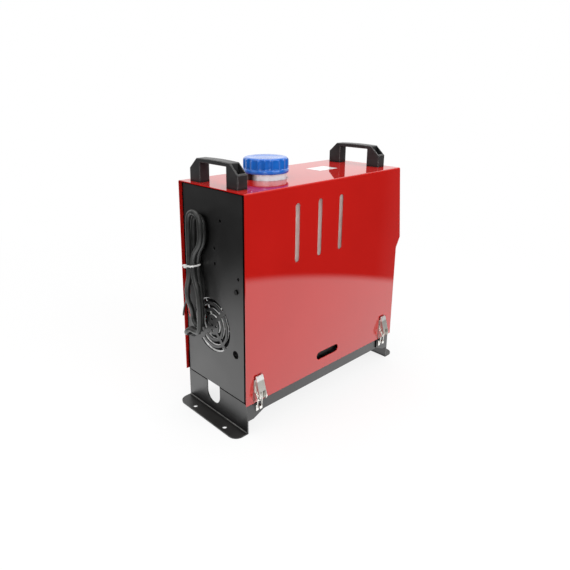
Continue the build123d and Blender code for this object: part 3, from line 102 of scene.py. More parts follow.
FINISHES = {
    "cover_enamel": Look(
        (0.535, 0.0112, 0.0080), (0.505, 0.0100, 0.0070), 0.12, (0.34, 0.42), grain=0.0016, height=0.000004,
        coat=1.0, coat_rough=0.04, crevice=0.004, specular=0.0,
    ),
    "chassis_enamel": Look(
        (0.008, 0.008, 0.008), (0.011, 0.011, 0.011), 0.05, (0.32, 0.42), height=0.00002, wear_and_highlight=0.45,
        dust=0.05, crevice=0.008,
    ),
    # Painted shadow: near-black dull strips that stand for the shadow gaps round the intake end plate
    "seam_black": Look((0.0015, 0.0015, 0.0015), (0.003, 0.003, 0.003), 0.01, (0.8, 0.95), specular=0.0),
    # Painted highlight: the feet's folds are painted light grey for the sheen along the bend
    "rubbed_enamel": Look((0.16, 0.155, 0.15), (0.07, 0.07, 0.068), 0.012, (0.3, 0.45), metallic=0.3),
    "latch_steel": Look(
        (0.80, 0.79, 0.76), (0.62, 0.61, 0.58), 0.00035, (0.26, 0.44), kind="brush", metallic=1.0,
    ),
    "lever_steel": Look(
        (0.62, 0.61, 0.57), (0.42, 0.41, 0.38), 0.00035, (0.28, 0.46), kind="brush", metallic=1.0,
    ),
    "bail_steel": Look(
        (0.50, 0.49, 0.46), (0.34, 0.33, 0.31), 0.0004, (0.2, 0.4), kind="brush", metallic=1.0,
    ),
    "strike_steel": Look(
        (0.62, 0.61, 0.58), (0.50, 0.49, 0.47), 0.0004, (0.25, 0.42), kind="brush", metallic=1.0,
    ),
    "tank_plastic": Look(
        (0.91, 0.89, 0.85), (0.75, 0.70, 0.64), 0.022, (0.22, 0.34), kind="tank", grain=0.012,
        height=0.0012,
    ),
    "cap_plastic": Look(
        (0.006, 0.145, 0.60), (0.005, 0.125, 0.54), 0.03, (0.2, 0.28), grain=0.0007, coat=0.35,
        coat_rough=0.08, crevice=0.005,
    ),
    "liner_foam": Look((0.72, 0.72, 0.69), (0.62, 0.62, 0.58), 0.01, (0.75, 0.9), height=0.00005),
    "tray_enamel": Look(
        (0.008, 0.008, 0.008), (0.011, 0.011, 0.011), 0.05, (0.32, 0.42), height=0.00002, wear_and_highlight=0.45,
        dust=0.05, crevice=0.008,
    ),
    # Painted highlight: the handles' edges are painted light grey for the sheen along them
    "handle_plastic": Look(
        (0.014, 0.014, 0.015), (0.020, 0.020, 0.021), 0.02, (0.36, 0.48), grain=0.0005, height=0.00003,
        wear_and_highlight=0.8, rubbed_and_highlit=(0.46, 0.45, 0.44), dust=0.05, crevice=0.004,
    ),
    "screw_steel": Look(
        (0.030, 0.030, 0.030), (0.016, 0.016, 0.016), 0.0003, (0.2, 0.4), kind="brush", metallic=1.0,
    ),
    "casing_plastic": Look(
        (0.030, 0.030, 0.032), (0.038, 0.038, 0.040), 0.03, (0.5, 0.65), height=0.00004, wear_and_highlight=0.2, dust=0.1,
    ),
    "cast_aluminium": Look(
        (0.60, 0.60, 0.61), (0.47, 0.47, 0.48), 0.012, (0.4, 0.6), grain=0.0008, height=0.00006,
        metallic=1.0, dust=0.05,
    ),
    "pipe_steel": Look(
        (0.60, 0.57, 0.52), (0.44, 0.41, 0.38), 0.0005, (0.25, 0.45), kind="brush", metallic=1.0,
    ),
    "gasket_fibre": Look(
        (0.26, 0.25, 0.23), (0.17, 0.165, 0.155), 0.003, (0.85, 0.95), grain=0.0004, height=0.00008,
    ),
    "motor_steel": Look(
        (0.56, 0.57, 0.58), (0.44, 0.45, 0.46), 0.0004, (0.22, 0.4), kind="brush", metallic=1.0,
    ),
    "fan_plastic": Look(
        (0.055, 0.055, 0.06), (0.04, 0.04, 0.045), 0.02, (0.3, 0.45), height=0.00002, wear_and_highlight=0.2,
    ),
    # Painted reflection: the chrome guard is painted white for its glints, with darker streaks for the breaks
    # between them
    "guard_wire": Look(
        (1.0, 1.0, 0.99), (0.42, 0.42, 0.42), 0.006, (0.10, 0.22), kind="brush", height=0.000005, coat=1.0,
        coat_rough=0.05,
    ),
    "unit_plastic": Look(
        (0.02, 0.02, 0.022), (0.03, 0.03, 0.032), 0.02, (0.55, 0.7), grain=0.0005, height=0.00003, wear_and_highlight=0.2,
    ),
    "bezel_plastic": Look(
        (0.010, 0.010, 0.012), (0.014, 0.014, 0.016), 0.03, (0.12, 0.2), grain=0.0008, height=0.000005,
        coat=0.6, coat_rough=0.05, wear_and_highlight=0.1, dust=0.05,
    ),
    "screen_plastic": Look(
        (0.012, 0.020, 0.030), (0.014, 0.026, 0.034), 0.02, (0.06, 0.1), grain=0.002, height=0.000002,
        coat=1.0, coat_rough=0.03, dust=0.02,
    ),
    "button_plastic": Look(
        (0.46, 0.47, 0.49), (0.40, 0.41, 0.43), 0.004, (0.35, 0.5), grain=0.0004, height=0.00002, wear_and_highlight=0.3,
    ),
    "pump_steel": Look(
        (0.62, 0.62, 0.63), (0.48, 0.48, 0.49), 0.0004, (0.22, 0.4), kind="brush", metallic=1.0,
    ),
    "clamp_rubber": Look(
        (0.018, 0.018, 0.018), (0.026, 0.026, 0.026), 0.008, (0.6, 0.8), grain=0.0004, height=0.00004,
        dust=0.1,
    ),
    "filter_plastic": Look(
        (0.72, 0.74, 0.75), (0.62, 0.63, 0.62), 0.01, (0.15, 0.25), grain=0.0008, coat=0.4,
    ),
    "hose_rubber": Look((0.012, 0.030, 0.018), (0.018, 0.038, 0.024), 0.02, (0.35, 0.5), height=0.00002),
    "lead_jacket": Look(
        (0.016, 0.017, 0.016), (0.024, 0.025, 0.024), 0.012, (0.34, 0.48), grain=0.0005, height=0.00003,
        dust=0.05,
    ),
    "black_insulation": Look(
        (0.014, 0.014, 0.015), (0.020, 0.020, 0.021), 0.008, (0.25, 0.35), grain=0.0004, coat=0.3,
    ),
    "red_insulation": Look(
        (0.52, 0.018, 0.016), (0.44, 0.014, 0.012), 0.008, (0.25, 0.35), grain=0.0004, coat=0.3,
    ),
    "tie_nylon": Look((0.88, 0.88, 0.86), (0.80, 0.80, 0.78), 0.006, (0.3, 0.42), grain=0.0004),
    "crimp_tin": Look(
        (0.78, 0.78, 0.76), (0.62, 0.62, 0.60), 0.0003, (0.15, 0.35), kind="brush", metallic=1.0,
    ),
    "blank_label": Look(
        (0.86, 0.86, 0.86), (0.80, 0.80, 0.79), 0.01, (0.25, 0.35), grain=0.0005, height=0.000005, coat=0.5,
        dust=0.03,
    ),
}

LATCHES = [f"{side}_{end}" for side in ("near", "far") for end in ("intake", "outlet")]
# CAD nodes whose finish isn't their slot's own: the moving latch parts, and the tray, which takes painted
# shade under the cover
SPECIAL = {
    **{f"{latch}_lever": "lever_steel" for latch in LATCHES},
    **{f"{latch}_bail": "bail_steel" for latch in LATCHES},
    "base_tray": "tray_enamel",
}
# Finishes whose colour is one of the sidebar's
CHOSEN = {
    "cover_enamel": "cover",
    "chassis_enamel": "chassis",
    "tray_enamel": "chassis",
    "handle_plastic": "handles",
    "cap_plastic": "cap",
    "lead_jacket": "lead",
}


# ---- sizes and colours that a user would change ----


def paint(name, description, slot):
    """A setting for the colour of one finish."""
    base = FINISHES[slot].base
    return bpy.props.FloatVectorProperty(
        name=name, description=description, default=base, size=3, subtype="COLOR", min=0.0, max=1.0
    )


def amount(name, description, default, most=4.0):
    """A setting without a unit."""
    return bpy.props.FloatProperty(
        name=name, description=description, default=default, min=0.0, max=most
    )


def watts(name, description, default):
    """A setting for the power of one light."""
    return bpy.props.FloatProperty(
        name=name, description=description, default=default, min=0.0, unit="POWER"
    )


def length(name, description, default):
    """A setting for a length."""
    return bpy.props.FloatProperty(
        name=name, description=description, default=default, min=0.0, unit="LENGTH"
    )


def angle(name, description, degrees):
    """A setting for an angle."""
    return bpy.props.FloatProperty(
        name=name, description=description, default=math.radians(degrees), subtype="ANGLE"
    )


class HeaterCamera(bpy.types.PropertyGroup):
    """Where the camera stands and how its lens is set"""

    place: bpy.props.FloatVectorProperty(
        name="Place",
        description="Where the camera stands",
        default=(-0.5887, -0.5599, 0.4764),
        subtype="TRANSLATION",
        unit="LENGTH",
    )
    tilt: angle("Tilt", "Camera angle up from straight down", 73.9)
    heading: angle("Heading", "Camera turn about the vertical", -42.46)
    lens: bpy.props.FloatProperty(name="Lens", description="Focal length", default=33.39, unit="CAMERA")
    shift: bpy.props.FloatVectorProperty(
        name="Shift", description="Lens shift in frame widths", default=(0.0404, -0.0809), size=2
    )


class HeaterStudio(bpy.types.PropertyGroup):
    """The floor, the lights and what glossy surfaces reflect"""

    floor_colour: bpy.props.FloatVectorProperty(
        name="Floor",
        description="Colour of the floor",
        default=(0.93, 0.93, 0.93),
        size=3,
        subtype="COLOR",
        min=0.0,
        max=1.0,
    )
    bounce: amount("Bounce", "Share of its light that the floor throws back up", 0.25)
    backdrop: amount("Backdrop", "How far the floor is shown as plain white", 0.8, 1.0)
    sky: amount("Sky", "Strength of the even light from all round", 0.62)
    horizon: amount("Horizon", "Brightness near the horizon in glossy surfaces", 0.06)
    back_glow: amount("Backdrop Glow", "Brightness of the backdrop in glossy surfaces", 1.15)
    table_glow: amount("Table Glow", "Brightness of the near table in glossy surfaces", 2.0)
    far_glow: amount("Far Glow", "Brightness of the far floor in glossy surfaces", 0.04)
    table_reach: length("Table Reach", "How far the bright table reaches from the heater", 0.56)
    key: watts("Key Light", "Light on the long side", 28.0)
    front: watts("Front Light", "Light from the camera's side", 10.0)
    end: watts("End Light", "Light on the intake end", 10.0)
    top: watts("Top Light", "Light from above", 16.0)


class HeaterSizes(bpy.types.PropertyGroup):
    """Sizes of the pieces that only the scene has"""

    lead_diameter: length("Lead Diameter", "Outside diameter of the power lead", 7.5 * MM)
    core_diameter: length("Conductor Diameter", "Outside diameter of one insulated conductor", 2.6 * MM)
    tie_width: length("Tie Width", "Width of the cable tie", 2.5 * MM)
    tie_sheet: length("Tie Sheet", "Thickness of the cable tie", 1.0 * MM)
    tie_tilt: angle("Tie Tilt", "How far the tie slopes", 8)
    cap_flutes: bpy.props.IntProperty(
        name="Cap Flutes", description="Number of finger grips round the cap", default=20, min=3
    )
    flute_depth: length("Flute Depth", "Depth of a finger grip", 1.9 * MM)
    wire_diameter: length("Guard Wire", "Width of the guard's flattened wires", 4.2 * MM)
    # Painted shadow: width of the dark strips that stand for the shadow gaps round the end plate
    shadow_strip_width: length("Seam Width", "Width of a sealed seam", 2.2 * MM)
    label_sheet: length("Label Sheet", "Thickness of the blank label", 0.15 * MM)


class HeaterColours(bpy.types.PropertyGroup):
    """Colours of the main finishes"""

    cover: paint("Cover", "Enamel of the cover", "cover_enamel")
    chassis: paint("Chassis", "Enamel of the chassis", "chassis_enamel")
    handles: paint("Handles", "Plastic of the carrying handles", "handle_plastic")
    cap: paint("Cap", "Plastic of the filler cap", "cap_plastic")
    lead: paint("Lead", "Jacket of the power lead", "lead_jacket")


# ---- nodes ----


def feed(tree, node, feeds):
    """Set a node's sockets to values, or link them to other nodes' sockets."""
    for key, value in feeds.items():
        if isinstance(value, bpy.types.NodeSocket):
            tree.links.new(value, node.inputs[key])
        else:
            node.inputs[key].default_value = value
    return node


def add(tree, kind, feeds=None, **values):
    """A node with its settings made and its sockets fed."""
    node = tree.nodes.new(kind)
    for key, value in values.items():
        setattr(node, key, value)
    return feed(tree, node, feeds or {})


def ramp(tree, value, start, end, low=0.0, high=1.0, **values):
    """A value taken from one range to another, and held at its ends."""
    feeds = {"Value": value, "From Min": start, "From Max": end, "To Min": low, "To Max": high}
    return add(tree, "ShaderNodeMapRange", feeds, **values).outputs[0]


def math_of(tree, first, second, operation):
    """One Math node's result."""
    return add(tree, "ShaderNodeMath", {0: first, 1: second}, operation=operation).outputs[0]


def mixed(tree, factor, first, second):
    """Two colours mixed by a factor."""
    return add(tree, "ShaderNodeMix", {0: factor, 6: first, 7: second}, data_type="RGBA").outputs[2]


def blended(tree, factor, first, second):
    """Two numbers mixed by a factor."""
    return add(tree, "ShaderNodeMix", {0: factor, 2: first, 3: second}).outputs[0]


def object_place(tree):
    """Where a point is, in the object's own coordinates."""
    return add(tree, "ShaderNodeTexCoord").outputs["Object"]


def height_share(tree, start, end):
    """How far a point is between two heights."""
    up = add(tree, "ShaderNodeSeparateXYZ", {0: object_place(tree)}).outputs["Z"]
    return ramp(tree, up, start, end)


def facing(tree, axis):
    """How far a surface faces along one axis."""
    normal = add(tree, "ShaderNodeNewGeometry").outputs["Normal"]
    return add(tree, "ShaderNodeSeparateXYZ", {0: normal}).outputs[axis]


def spots(tree, place, size, detail=2.0, rough=0.5):
    """Noise whose spots are about size metres across, with this much finer noise on top."""
    scale = math_of(tree, 1.0, size, "DIVIDE")
    feeds = {"Vector": place, "Scale": scale, "Detail": detail, "Roughness": rough}
    return add(tree, "ShaderNodeTexNoise", feeds).outputs[0]


# ---- shader node groups that more than one finish uses ----

# Noise values between which one colour gives way to the other, and the smoothest to the roughest
DRIFT_RANGE = (0.35, 0.65)
SHINE_RANGE = (0.3, 0.7)
# How closely the rounded normal matches the face's, on a flat place and on a full edge
EDGE_RANGE = (0.99, 0.8)
# Noise values and size of the patches along edges, of wear and of painted highlight
RUBBED_AND_HIGHLIT_RANGE = (0.35, 0.6)
RUBBED_AND_HIGHLIT_SIZE = 6 * MM
# How far up a surface faces before dust stays on it, and where it has all of it
DUST_RANGE = (0.2, 1.0)
DUST_SIZE = 30 * MM
# How open a place is where the painted crevice shade starts, and where it is full
OPEN_RANGE = (0.9, 0.5)
# Colour of the painted shade in crevices
CREVICE_SHADE_COLOUR = (0.002, 0.002, 0.002, 1.0)

COLOUR_OUTPUT = ("Colour", "NodeSocketColor")
SURFACE_OUTPUTS = (COLOUR_OUTPUT, ("Roughness", "NodeSocketFloat"), ("Height", "NodeSocketFloat"))


def shared_group(name, inputs, outputs):
    """A new shader node group with named sockets, its inputs, and its output node."""
    group = bpy.data.node_groups.new(name, "ShaderNodeTree")
    for label, kind, value in inputs:
        socket = group.interface.new_socket(name=label, in_out="INPUT", socket_type=kind)
        socket.default_value = value
    for label, kind in outputs:
        group.interface.new_socket(name=label, in_out="OUTPUT", socket_type=kind)
    return group, group.nodes.new("NodeGroupInput").outputs, group.nodes.new("NodeGroupOutput")


def surface_drift():
    """Slow drift of colour and roughness, with a fine grain as height."""
    tree, given, made = shared_group(
        "Surface Drift",
        (
            ("Colour", "NodeSocketColor", (0.5, 0.5, 0.5, 1)),
            ("Drift Colour", "NodeSocketColor", (0.4, 0.4, 0.4, 1)),
            ("Drift Size", "NodeSocketFloat", 0.05),
            ("Grain Size", "NodeSocketFloat", 0.001),
            ("Smoothest", "NodeSocketFloat", 0.3),
            ("Roughest", "NodeSocketFloat", 0.5),
        ),
        SURFACE_OUTPUTS,
    )
    place = object_place(tree)
    slow = spots(tree, place, given["Drift Size"], detail=3.0)
    fine = spots(tree, place, given["Grain Size"])
    shade = mixed(tree, ramp(tree, slow, *DRIFT_RANGE), given["Colour"], given["Drift Colour"])
    rough = ramp(tree, slow, *SHINE_RANGE, given["Smoothest"], given["Roughest"])
    feed(tree, made, {"Colour": shade, "Roughness": rough, "Height": fine})
    return tree


def brushed_lines():
    """Fine drawn lines along one direction, as colour, roughness and height."""
    tree, given, made = shared_group(
        "Brushed Lines",
        (
            ("Colour", "NodeSocketColor", (0.7, 0.7, 0.7, 1)),
            ("Line Colour", "NodeSocketColor", (0.5, 0.5, 0.5, 1)),
            ("Line Width", "NodeSocketFloat", 0.0003),
            ("Stretch", "NodeSocketVector", (1.0, 1.0, 0.05)),
            ("Smoothest", "NodeSocketFloat", 0.15),
            ("Roughest", "NodeSocketFloat", 0.35),
        ),
        SURFACE_OUTPUTS,
    )
    feeds = {0: object_place(tree), 1: given["Stretch"]}
    drawn = add(tree, "ShaderNodeVectorMath", feeds, operation="MULTIPLY").outputs[0]
    lines = spots(tree, drawn, given["Line Width"], detail=3.0)
    shade = mixed(tree, ramp(tree, lines, *SHINE_RANGE), given["Colour"], given["Line Colour"])
    rough = ramp(tree, lines, *SHINE_RANGE, given["Smoothest"], given["Roughest"])
    feed(tree, made, {"Colour": shade, "Roughness": rough, "Height": lines})
    return tree


def worn_and_highlit_edges():
    """Lighter edges, as wear and as painted highlight: where the rounded normal leaves the face normal,
    broken up by noise.
    """
    tree, given, made = shared_group(
        "Worn Edges",
        (
            ("Colour", "NodeSocketColor", (0.5, 0.5, 0.5, 1)),
            ("Worn Colour", "NodeSocketColor", (0.7, 0.7, 0.7, 1)),
            ("Reach", "NodeSocketFloat", 0.001),
            ("Amount", "NodeSocketFloat", 0.5),
        ),
        (COLOUR_OUTPUT,),
    )
    rounded = add(tree, "ShaderNodeBevel", {"Radius": given["Reach"]}, samples=4).outputs[0]
    flat = add(tree, "ShaderNodeNewGeometry").outputs["Normal"]
    match = add(tree, "ShaderNodeVectorMath", {0: rounded, 1: flat}, operation="DOT_PRODUCT").outputs["Value"]
    edge = ramp(tree, match, *EDGE_RANGE)
    patches = spots(tree, object_place(tree), RUBBED_AND_HIGHLIT_SIZE, detail=4.0, rough=0.7)
    rubbed_and_highlit = ramp(tree, patches, *RUBBED_AND_HIGHLIT_RANGE)
    mask = math_of(tree, math_of(tree, edge, rubbed_and_highlit, "MULTIPLY"), given["Amount"], "MULTIPLY")
    feed(tree, made, {"Colour": mixed(tree, mask, given["Colour"], given["Worn Colour"])})
    return tree


def settled_dust():
    """A thin film of dust on what faces up, in soft patches."""
    tree, given, made = shared_group(
        "Settled Dust",
        (
            ("Colour", "NodeSocketColor", (0.5, 0.5, 0.5, 1)),
            ("Dust Colour", "NodeSocketColor", (0.55, 0.52, 0.48, 1)),
            ("Amount", "NodeSocketFloat", 0.1),
        ),
        (COLOUR_OUTPUT,),
    )
    upward = ramp(tree, facing(tree, "Z"), *DUST_RANGE)
    patches = spots(tree, object_place(tree), DUST_SIZE, detail=5.0, rough=0.65)
    mask = math_of(tree, math_of(tree, upward, patches, "MULTIPLY"), given["Amount"], "MULTIPLY")
    feed(tree, made, {"Colour": mixed(tree, mask, given["Colour"], given["Dust Colour"])})
    return tree


def crevice_shade():
    """Painted shade in narrow gaps, from how closely other surfaces stand around a point."""
    tree, given, made = shared_group(
        "Crevice Shade",
        (
            ("Colour", "NodeSocketColor", (0.5, 0.5, 0.5, 1)),
            ("Reach", "NodeSocketFloat", 0.004),
            ("Amount", "NodeSocketFloat", 0.8),
        ),
        (COLOUR_OUTPUT, ("Mask", "NodeSocketFloat")),
    )
    near = add(tree, "ShaderNodeAmbientOcclusion", {"Distance": given["Reach"]}, samples=6)
    shut = ramp(tree, near.outputs["AO"], *OPEN_RANGE)
    mask = math_of(tree, shut, given["Amount"], "MULTIPLY")
    feed(tree, made, {"Colour": mixed(tree, mask, given["Colour"], CREVICE_SHADE_COLOUR), "Mask": mask})
    return tree


# ---- materials ----

# Painted highlight: heights between which a lever's tip is painted near white, and that colour
LEVER_HIGHLIGHT_HEIGHTS = (0.0815, 0.0835)
TIP_HIGHLIGHT_COLOUR = (0.97, 0.96, 0.94, 1.0)
# The filler neck's clean plastic above the cover, and how far below the top it starts and ends
NECK_COLOUR = (0.66, 0.71, 0.75, 1.0)
NECK_DEPTHS = (0.034, 0.040)
# Painted shade: the tank's intake end, seen only through the plate's small holes, is painted near black;
# and how far along X a surface faces where this shade starts and where it is whole
END_SHADE_COLOUR = (0.004, 0.004, 0.004, 1.0)
END_SHADE_RANGE = (-0.9, -0.99)
# Painted light: the tank glows below the cover's top, to lighten it where it shows through the slots
TANK_PAINTED_GLOW = 0.1
# Painted shade: how far above the cover's lower edge the tray has turned to black metal, which throws nothing
# back
TRAY_SHADE_FADE = 2 * MM
# How far from an edge its wear and painted highlight reach
WORN_AND_HIGHLIT_REACH = 0.8 * MM
# A rubbed edge is this much lighter than its paint, where the finish doesn't say its colour
WORN_GAIN = 1.6
WORN_LIFT = 0.10

GROUPS = {}
MADE = {}


def grouped(tree, name, feeds):
    """One of the shared groups, placed in a material."""
    node = tree.nodes.new("ShaderNodeGroup")
    node.node_tree = GROUPS[name]
    return feed(tree, node, feeds)


def two_colours(slot):
    """A finish's two colours. The second keeps its ratio to the first, which the user may change."""
    look = FINISHES[slot]
    if slot not in CHOSEN:
        return (*look.base, 1.0), (*look.drift, 1.0)
    base = getattr(bpy.context.scene.heater_colours, CHOSEN[slot])
    drift = [value * second / first for value, second, first in zip(base, look.drift, look.base)]
    return (*base, 1.0), (*drift, 1.0)


def patterned(tree, look, base, drift):
    """The group that gives a finish its colour, roughness and fine height."""
    feeds = {"Colour": base, "Smoothest": look.rough[0], "Roughest": look.rough[1]}
    if look.kind == "brush":
        return grouped(tree, "Brushed Lines", {**feeds, "Line Colour": drift, "Line Width": look.size})
    feeds.update({"Drift Colour": drift, "Drift Size": look.size, "Grain Size": look.grain})
    return grouped(tree, "Surface Drift", feeds)


def tank_shade(tree, shader, shade):
    """The tank's clean neck, its intake end in painted shade, and its painted glow below the cover."""
    inside = height_share(tree, cad_high.z - NECK_DEPTHS[0], cad_high.z - NECK_DEPTHS[1])
    shade = mixed(tree, inside, NECK_COLOUR, shade)
    # Painted shade on the tank's intake end
    shade = mixed(tree, ramp(tree, facing(tree, "X"), *END_SHADE_RANGE), shade, END_SHADE_COLOUR)
    # Painted light: glow below the cover's top
    feed(tree, shader, {"Emission Color": mixed(tree, inside, BLACK, shade), "Emission Strength": TANK_PAINTED_GLOW})
    return shade


def shut_shade(tree, shader, slot, shade):
    """Painted shade: crevices darkened. Where a finish shines they turn to black metal, which throws nothing
    back.
    """
    look = FINISHES[slot]
    shut = grouped(tree, "Crevice Shade", {"Colour": shade, "Reach": look.crevice})
    dark = shut.outputs["Mask"]
    # Painted shade: above the cover's lower edge the tray turns to black metal
    if slot == "tray_enamel":
        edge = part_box("cover_shell")[0].z
        dark = math_of(tree, dark, height_share(tree, edge, edge + TRAY_SHADE_FADE), "MAXIMUM")
    if look.specular:
        feed(tree, shader, {"Metallic": dark})
    return shut.outputs["Colour"]


def finish(slot):
    """The material of one finish, made on first use."""
    if slot in MADE:
        return MADE[slot]
    look = FINISHES[slot]
    material = bpy.data.materials.new(f"{slot}_finish")
    MADE[slot] = material
    material.use_nodes = True
    tree = material.node_tree
    tree.nodes.clear()
    shader = add(
        tree,
        "ShaderNodeBsdfPrincipled",
        {
            "Metallic": look.metallic,
            "Specular IOR Level": look.specular,
            "Coat Weight": look.coat,
            "Coat Roughness": look.coat_rough,
        },
    )
    add(tree, "ShaderNodeOutputMaterial", {"Surface": shader.outputs[0]})
    base, drift = two_colours(slot)
    surface = patterned(tree, look, base, drift)
    shade = surface.outputs["Colour"]
    # Painted highlight on the lever's tip
    if slot == "lever_steel":
        shade = mixed(tree, height_share(tree, *LEVER_HIGHLIGHT_HEIGHTS), shade, TIP_HIGHLIGHT_COLOUR)
    if look.kind == "tank":
        shade = tank_shade(tree, shader, shade)
    # Lighter edges: wear, and on the handles painted highlight
    if look.wear_and_highlight:
        edge_colour = look.rubbed_and_highlit or [min(1.0, value * WORN_GAIN + WORN_LIFT) for value in base[:3]]
        feeds = {"Colour": shade, "Worn Colour": (*edge_colour, 1.0), "Reach": WORN_AND_HIGHLIT_REACH, "Amount": look.wear_and_highlight}
        shade = grouped(tree, "Worn Edges", feeds).outputs["Colour"]
    if look.dust:
        shade = grouped(tree, "Settled Dust", {"Colour": shade, "Amount": look.dust}).outputs["Colour"]
    # Painted shade in crevices, on the cover, chassis, tray, cap and handles
    if look.crevice:
        shade = shut_shade(tree, shader, slot, shade)
    feeds = {"Strength": 1.0, "Distance": look.height, "Height": surface.outputs["Height"]}
    bump = add(tree, "ShaderNodeBump", feeds).outputs[0]
    feed(tree, shader, {"Base Color": shade, "Roughness": surface.outputs["Roughness"], "Normal": bump})
    return material


# ---- pieces ----


def dress(piece, body, slot):
    """Give a finished piece its finish and put it on its body."""
    piece.data.materials.clear()
    piece.data.materials.append(finish(slot))
    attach(piece, body)
    return piece


def from_bmesh(name, mesh, smooth_angle=None):
    """An object of a finished bmesh, which is freed."""
    data = bpy.data.meshes.new(name)
    mesh.to_mesh(data)
    mesh.free()
    piece = bpy.data.objects.new(name, data)
    bpy.context.scene.collection.objects.link(piece)
    if smooth_angle is not None:
        data.set_sharp_from_angle(angle=math.radians(smooth_angle))
        for polygon in data.polygons:
            polygon.use_smooth = True
    return piece


def verts_of(made):
    """The vertices among the results of a bmesh operator."""
    return [item for item in made["geom"] if isinstance(item, bmesh.types.BMVert)]


def edges_of(verts):
    """The edges that meet some vertices, each once."""
    return list({edge for vert in verts for edge in vert.link_edges})


def block(mesh, low, high, bevel=0.0, segments=2):
    """A box between two corners, with rounded edges, added to a mesh."""
    low, high = Vector(low), Vector(high)
    made = bmesh.ops.create_cube(mesh, size=1.0)["verts"]
    bmesh.ops.scale(mesh, vec=high - low, verts=made)
    bmesh.ops.translate(mesh, vec=(high + low) / 2, verts=made)
    if bevel:
        bmesh.ops.bevel(
            mesh,
            geom=edges_of(made),
            affect="EDGES",
            offset=bevel,
            segments=segments,
            profile=0.5,
            material=-1,
        )


# ---- camera ----

CLIP_START = 0.01
CLIP_END = 30.0


class HEATER_OT_camera(bpy.types.Operator):
    """Place the camera where the photograph was taken from"""

    bl_idname = "heater.camera"
    bl_label = "Camera"

    def execute(self, context):
        view = context.scene.heater_camera
        data = bpy.data.cameras.new("camera")
        camera = bpy.data.objects.new("camera", data)
        context.scene.collection.objects.link(camera)
        camera.location = view.place
        camera.rotation_euler = (view.tilt, 0, view.heading)
        data.lens = view.lens
        data.shift_x, data.shift_y = view.shift
        data.clip_start = CLIP_START
        data.clip_end = CLIP_END
        context.scene.camera = camera
        return {"FINISHED"}


# ---- cable tie and lead ----

# Middle of the tie round the hank's waist, and half its depth and width inside
TIE_PLACE = (-0.1793, 0.03225, 0.232)
TIE_HALF_DEPTH = 8.2 * MM
TIE_HALF_WIDTH = 8.3 * MM
TIE_STEPS = 64
# Below 1, the strap's loop is squarer than an ellipse
TIE_ROUNDNESS = 0.6
# Corners in millimetres from the strap's outer face, and the edges' radius and segments
TIE_HEAD = ((-3.2, 2.8, -2.6), (0.4, 7.8, 2.6), 0.8, 3)
TIE_TAIL = ((-1.6, 7.8, -1.2), (-0.6, 13.8, 1.2), 0.3, 2)


class HEATER_OT_tie(bpy.types.Operator):
    """Close the white cable tie round the hank's waist"""

    bl_idname = "heater.tie"
    bl_label = "Cable Tie"

    def execute(self, context):
        sizes = context.scene.heater_sizes
        mesh = bmesh.new()
        strap = bmesh.ops.create_circle(mesh, cap_ends=False, radius=1.0, segments=TIE_STEPS)["verts"]
        for vert in strap:
            side, front = vert.co.y, vert.co.x
            vert.co.y = math.copysign(abs(side) ** TIE_ROUNDNESS, side) * TIE_HALF_WIDTH
            vert.co.x = math.copysign(abs(front) ** TIE_ROUNDNESS, front) * TIE_HALF_DEPTH
        drawn = bmesh.ops.extrude_edge_only(mesh, edges=list(mesh.edges))
        bmesh.ops.translate(mesh, vec=(0, 0, sizes.tie_width), verts=verts_of(drawn))
        bmesh.ops.recalc_face_normals(mesh, faces=mesh.faces)
        bmesh.ops.solidify(mesh, geom=list(mesh.faces), thickness=-sizes.tie_sheet)
        bmesh.ops.translate(mesh, vec=(0, 0, -sizes.tie_width / 2), verts=mesh.verts)
        face = Vector((-TIE_HALF_DEPTH - sizes.tie_sheet, 0, 0))
        for low, high, bevel, segments in (TIE_HEAD, TIE_TAIL):
            block(mesh, face + MM * Vector(low), face + MM * Vector(high), bevel * MM, segments)
        tilt = Matrix.Rotation(-sizes.tie_tilt, 3, "X")
        bmesh.ops.rotate(mesh, cent=(0, 0, 0), matrix=tilt, verts=mesh.verts)
        bmesh.ops.translate(mesh, vec=TIE_PLACE, verts=mesh.verts)
        bmesh.ops.recalc_face_normals(mesh, faces=mesh.faces)
        tie = dress(from_bmesh("white_tie", mesh, smooth_angle=35), "chassis", "tie_nylon")
        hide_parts("cable_tie")
        return {"FINISHED"}


# The hank's two layers, and the routes as control points of smooth lines
INNER = -0.17515
OUTER = -0.18345
LEAD_EXIT = (-0.1694, 0.055, 0.117)
LEAD_ROUTE = (
    LEAD_EXIT,
    (-0.180, 0.055, 0.117),
    (-0.1848, 0.0485, 0.1245),
    (OUTER, 0.0404, 0.13075),
    (OUTER, 0.0345, 0.13075),
    (OUTER, 0.02224, 0.13075),
    (OUTER, 0.0155, 0.13749),
    (OUTER, 0.0155, 0.196),
    (OUTER, 0.0280, 0.216),
    (OUTER, 0.0280, 0.248),
    (OUTER, 0.0078, 0.268),
    (OUTER, 0.0078, 0.30293),
    (OUTER, 0.01612, 0.31125),
    (OUTER, 0.02788, 0.31125),
    (OUTER, 0.0362, 0.30293),
    (OUTER, 0.0362, 0.268),
    (OUTER, 0.0365, 0.248),
    (OUTER, 0.0365, 0.216),
    (OUTER, 0.0445, 0.196),
    (OUTER, 0.0445, 0.1763),
    (INNER, 0.0445, 0.1569),
    (INNER, 0.0445, 0.14249),
    (INNER, 0.03776, 0.13575),
    (INNER, 0.02824, 0.13575),
    (INNER, 0.0215, 0.14249),
    (INNER, 0.0215, 0.196),
    (INNER, 0.0280, 0.216),
    (INNER, 0.0280, 0.248),
    (INNER, 0.0115, 0.268),
    (INNER, 0.0115, 0.29707),
    (INNER, 0.01868, 0.30425),
    (INNER, 0.02882, 0.30425),
    (INNER, 0.0360, 0.29707),
    (INNER, 0.0360, 0.21825),
    (INNER, 0.0524, 0.20275),
    (INNER, 0.0524, 0.195),
)
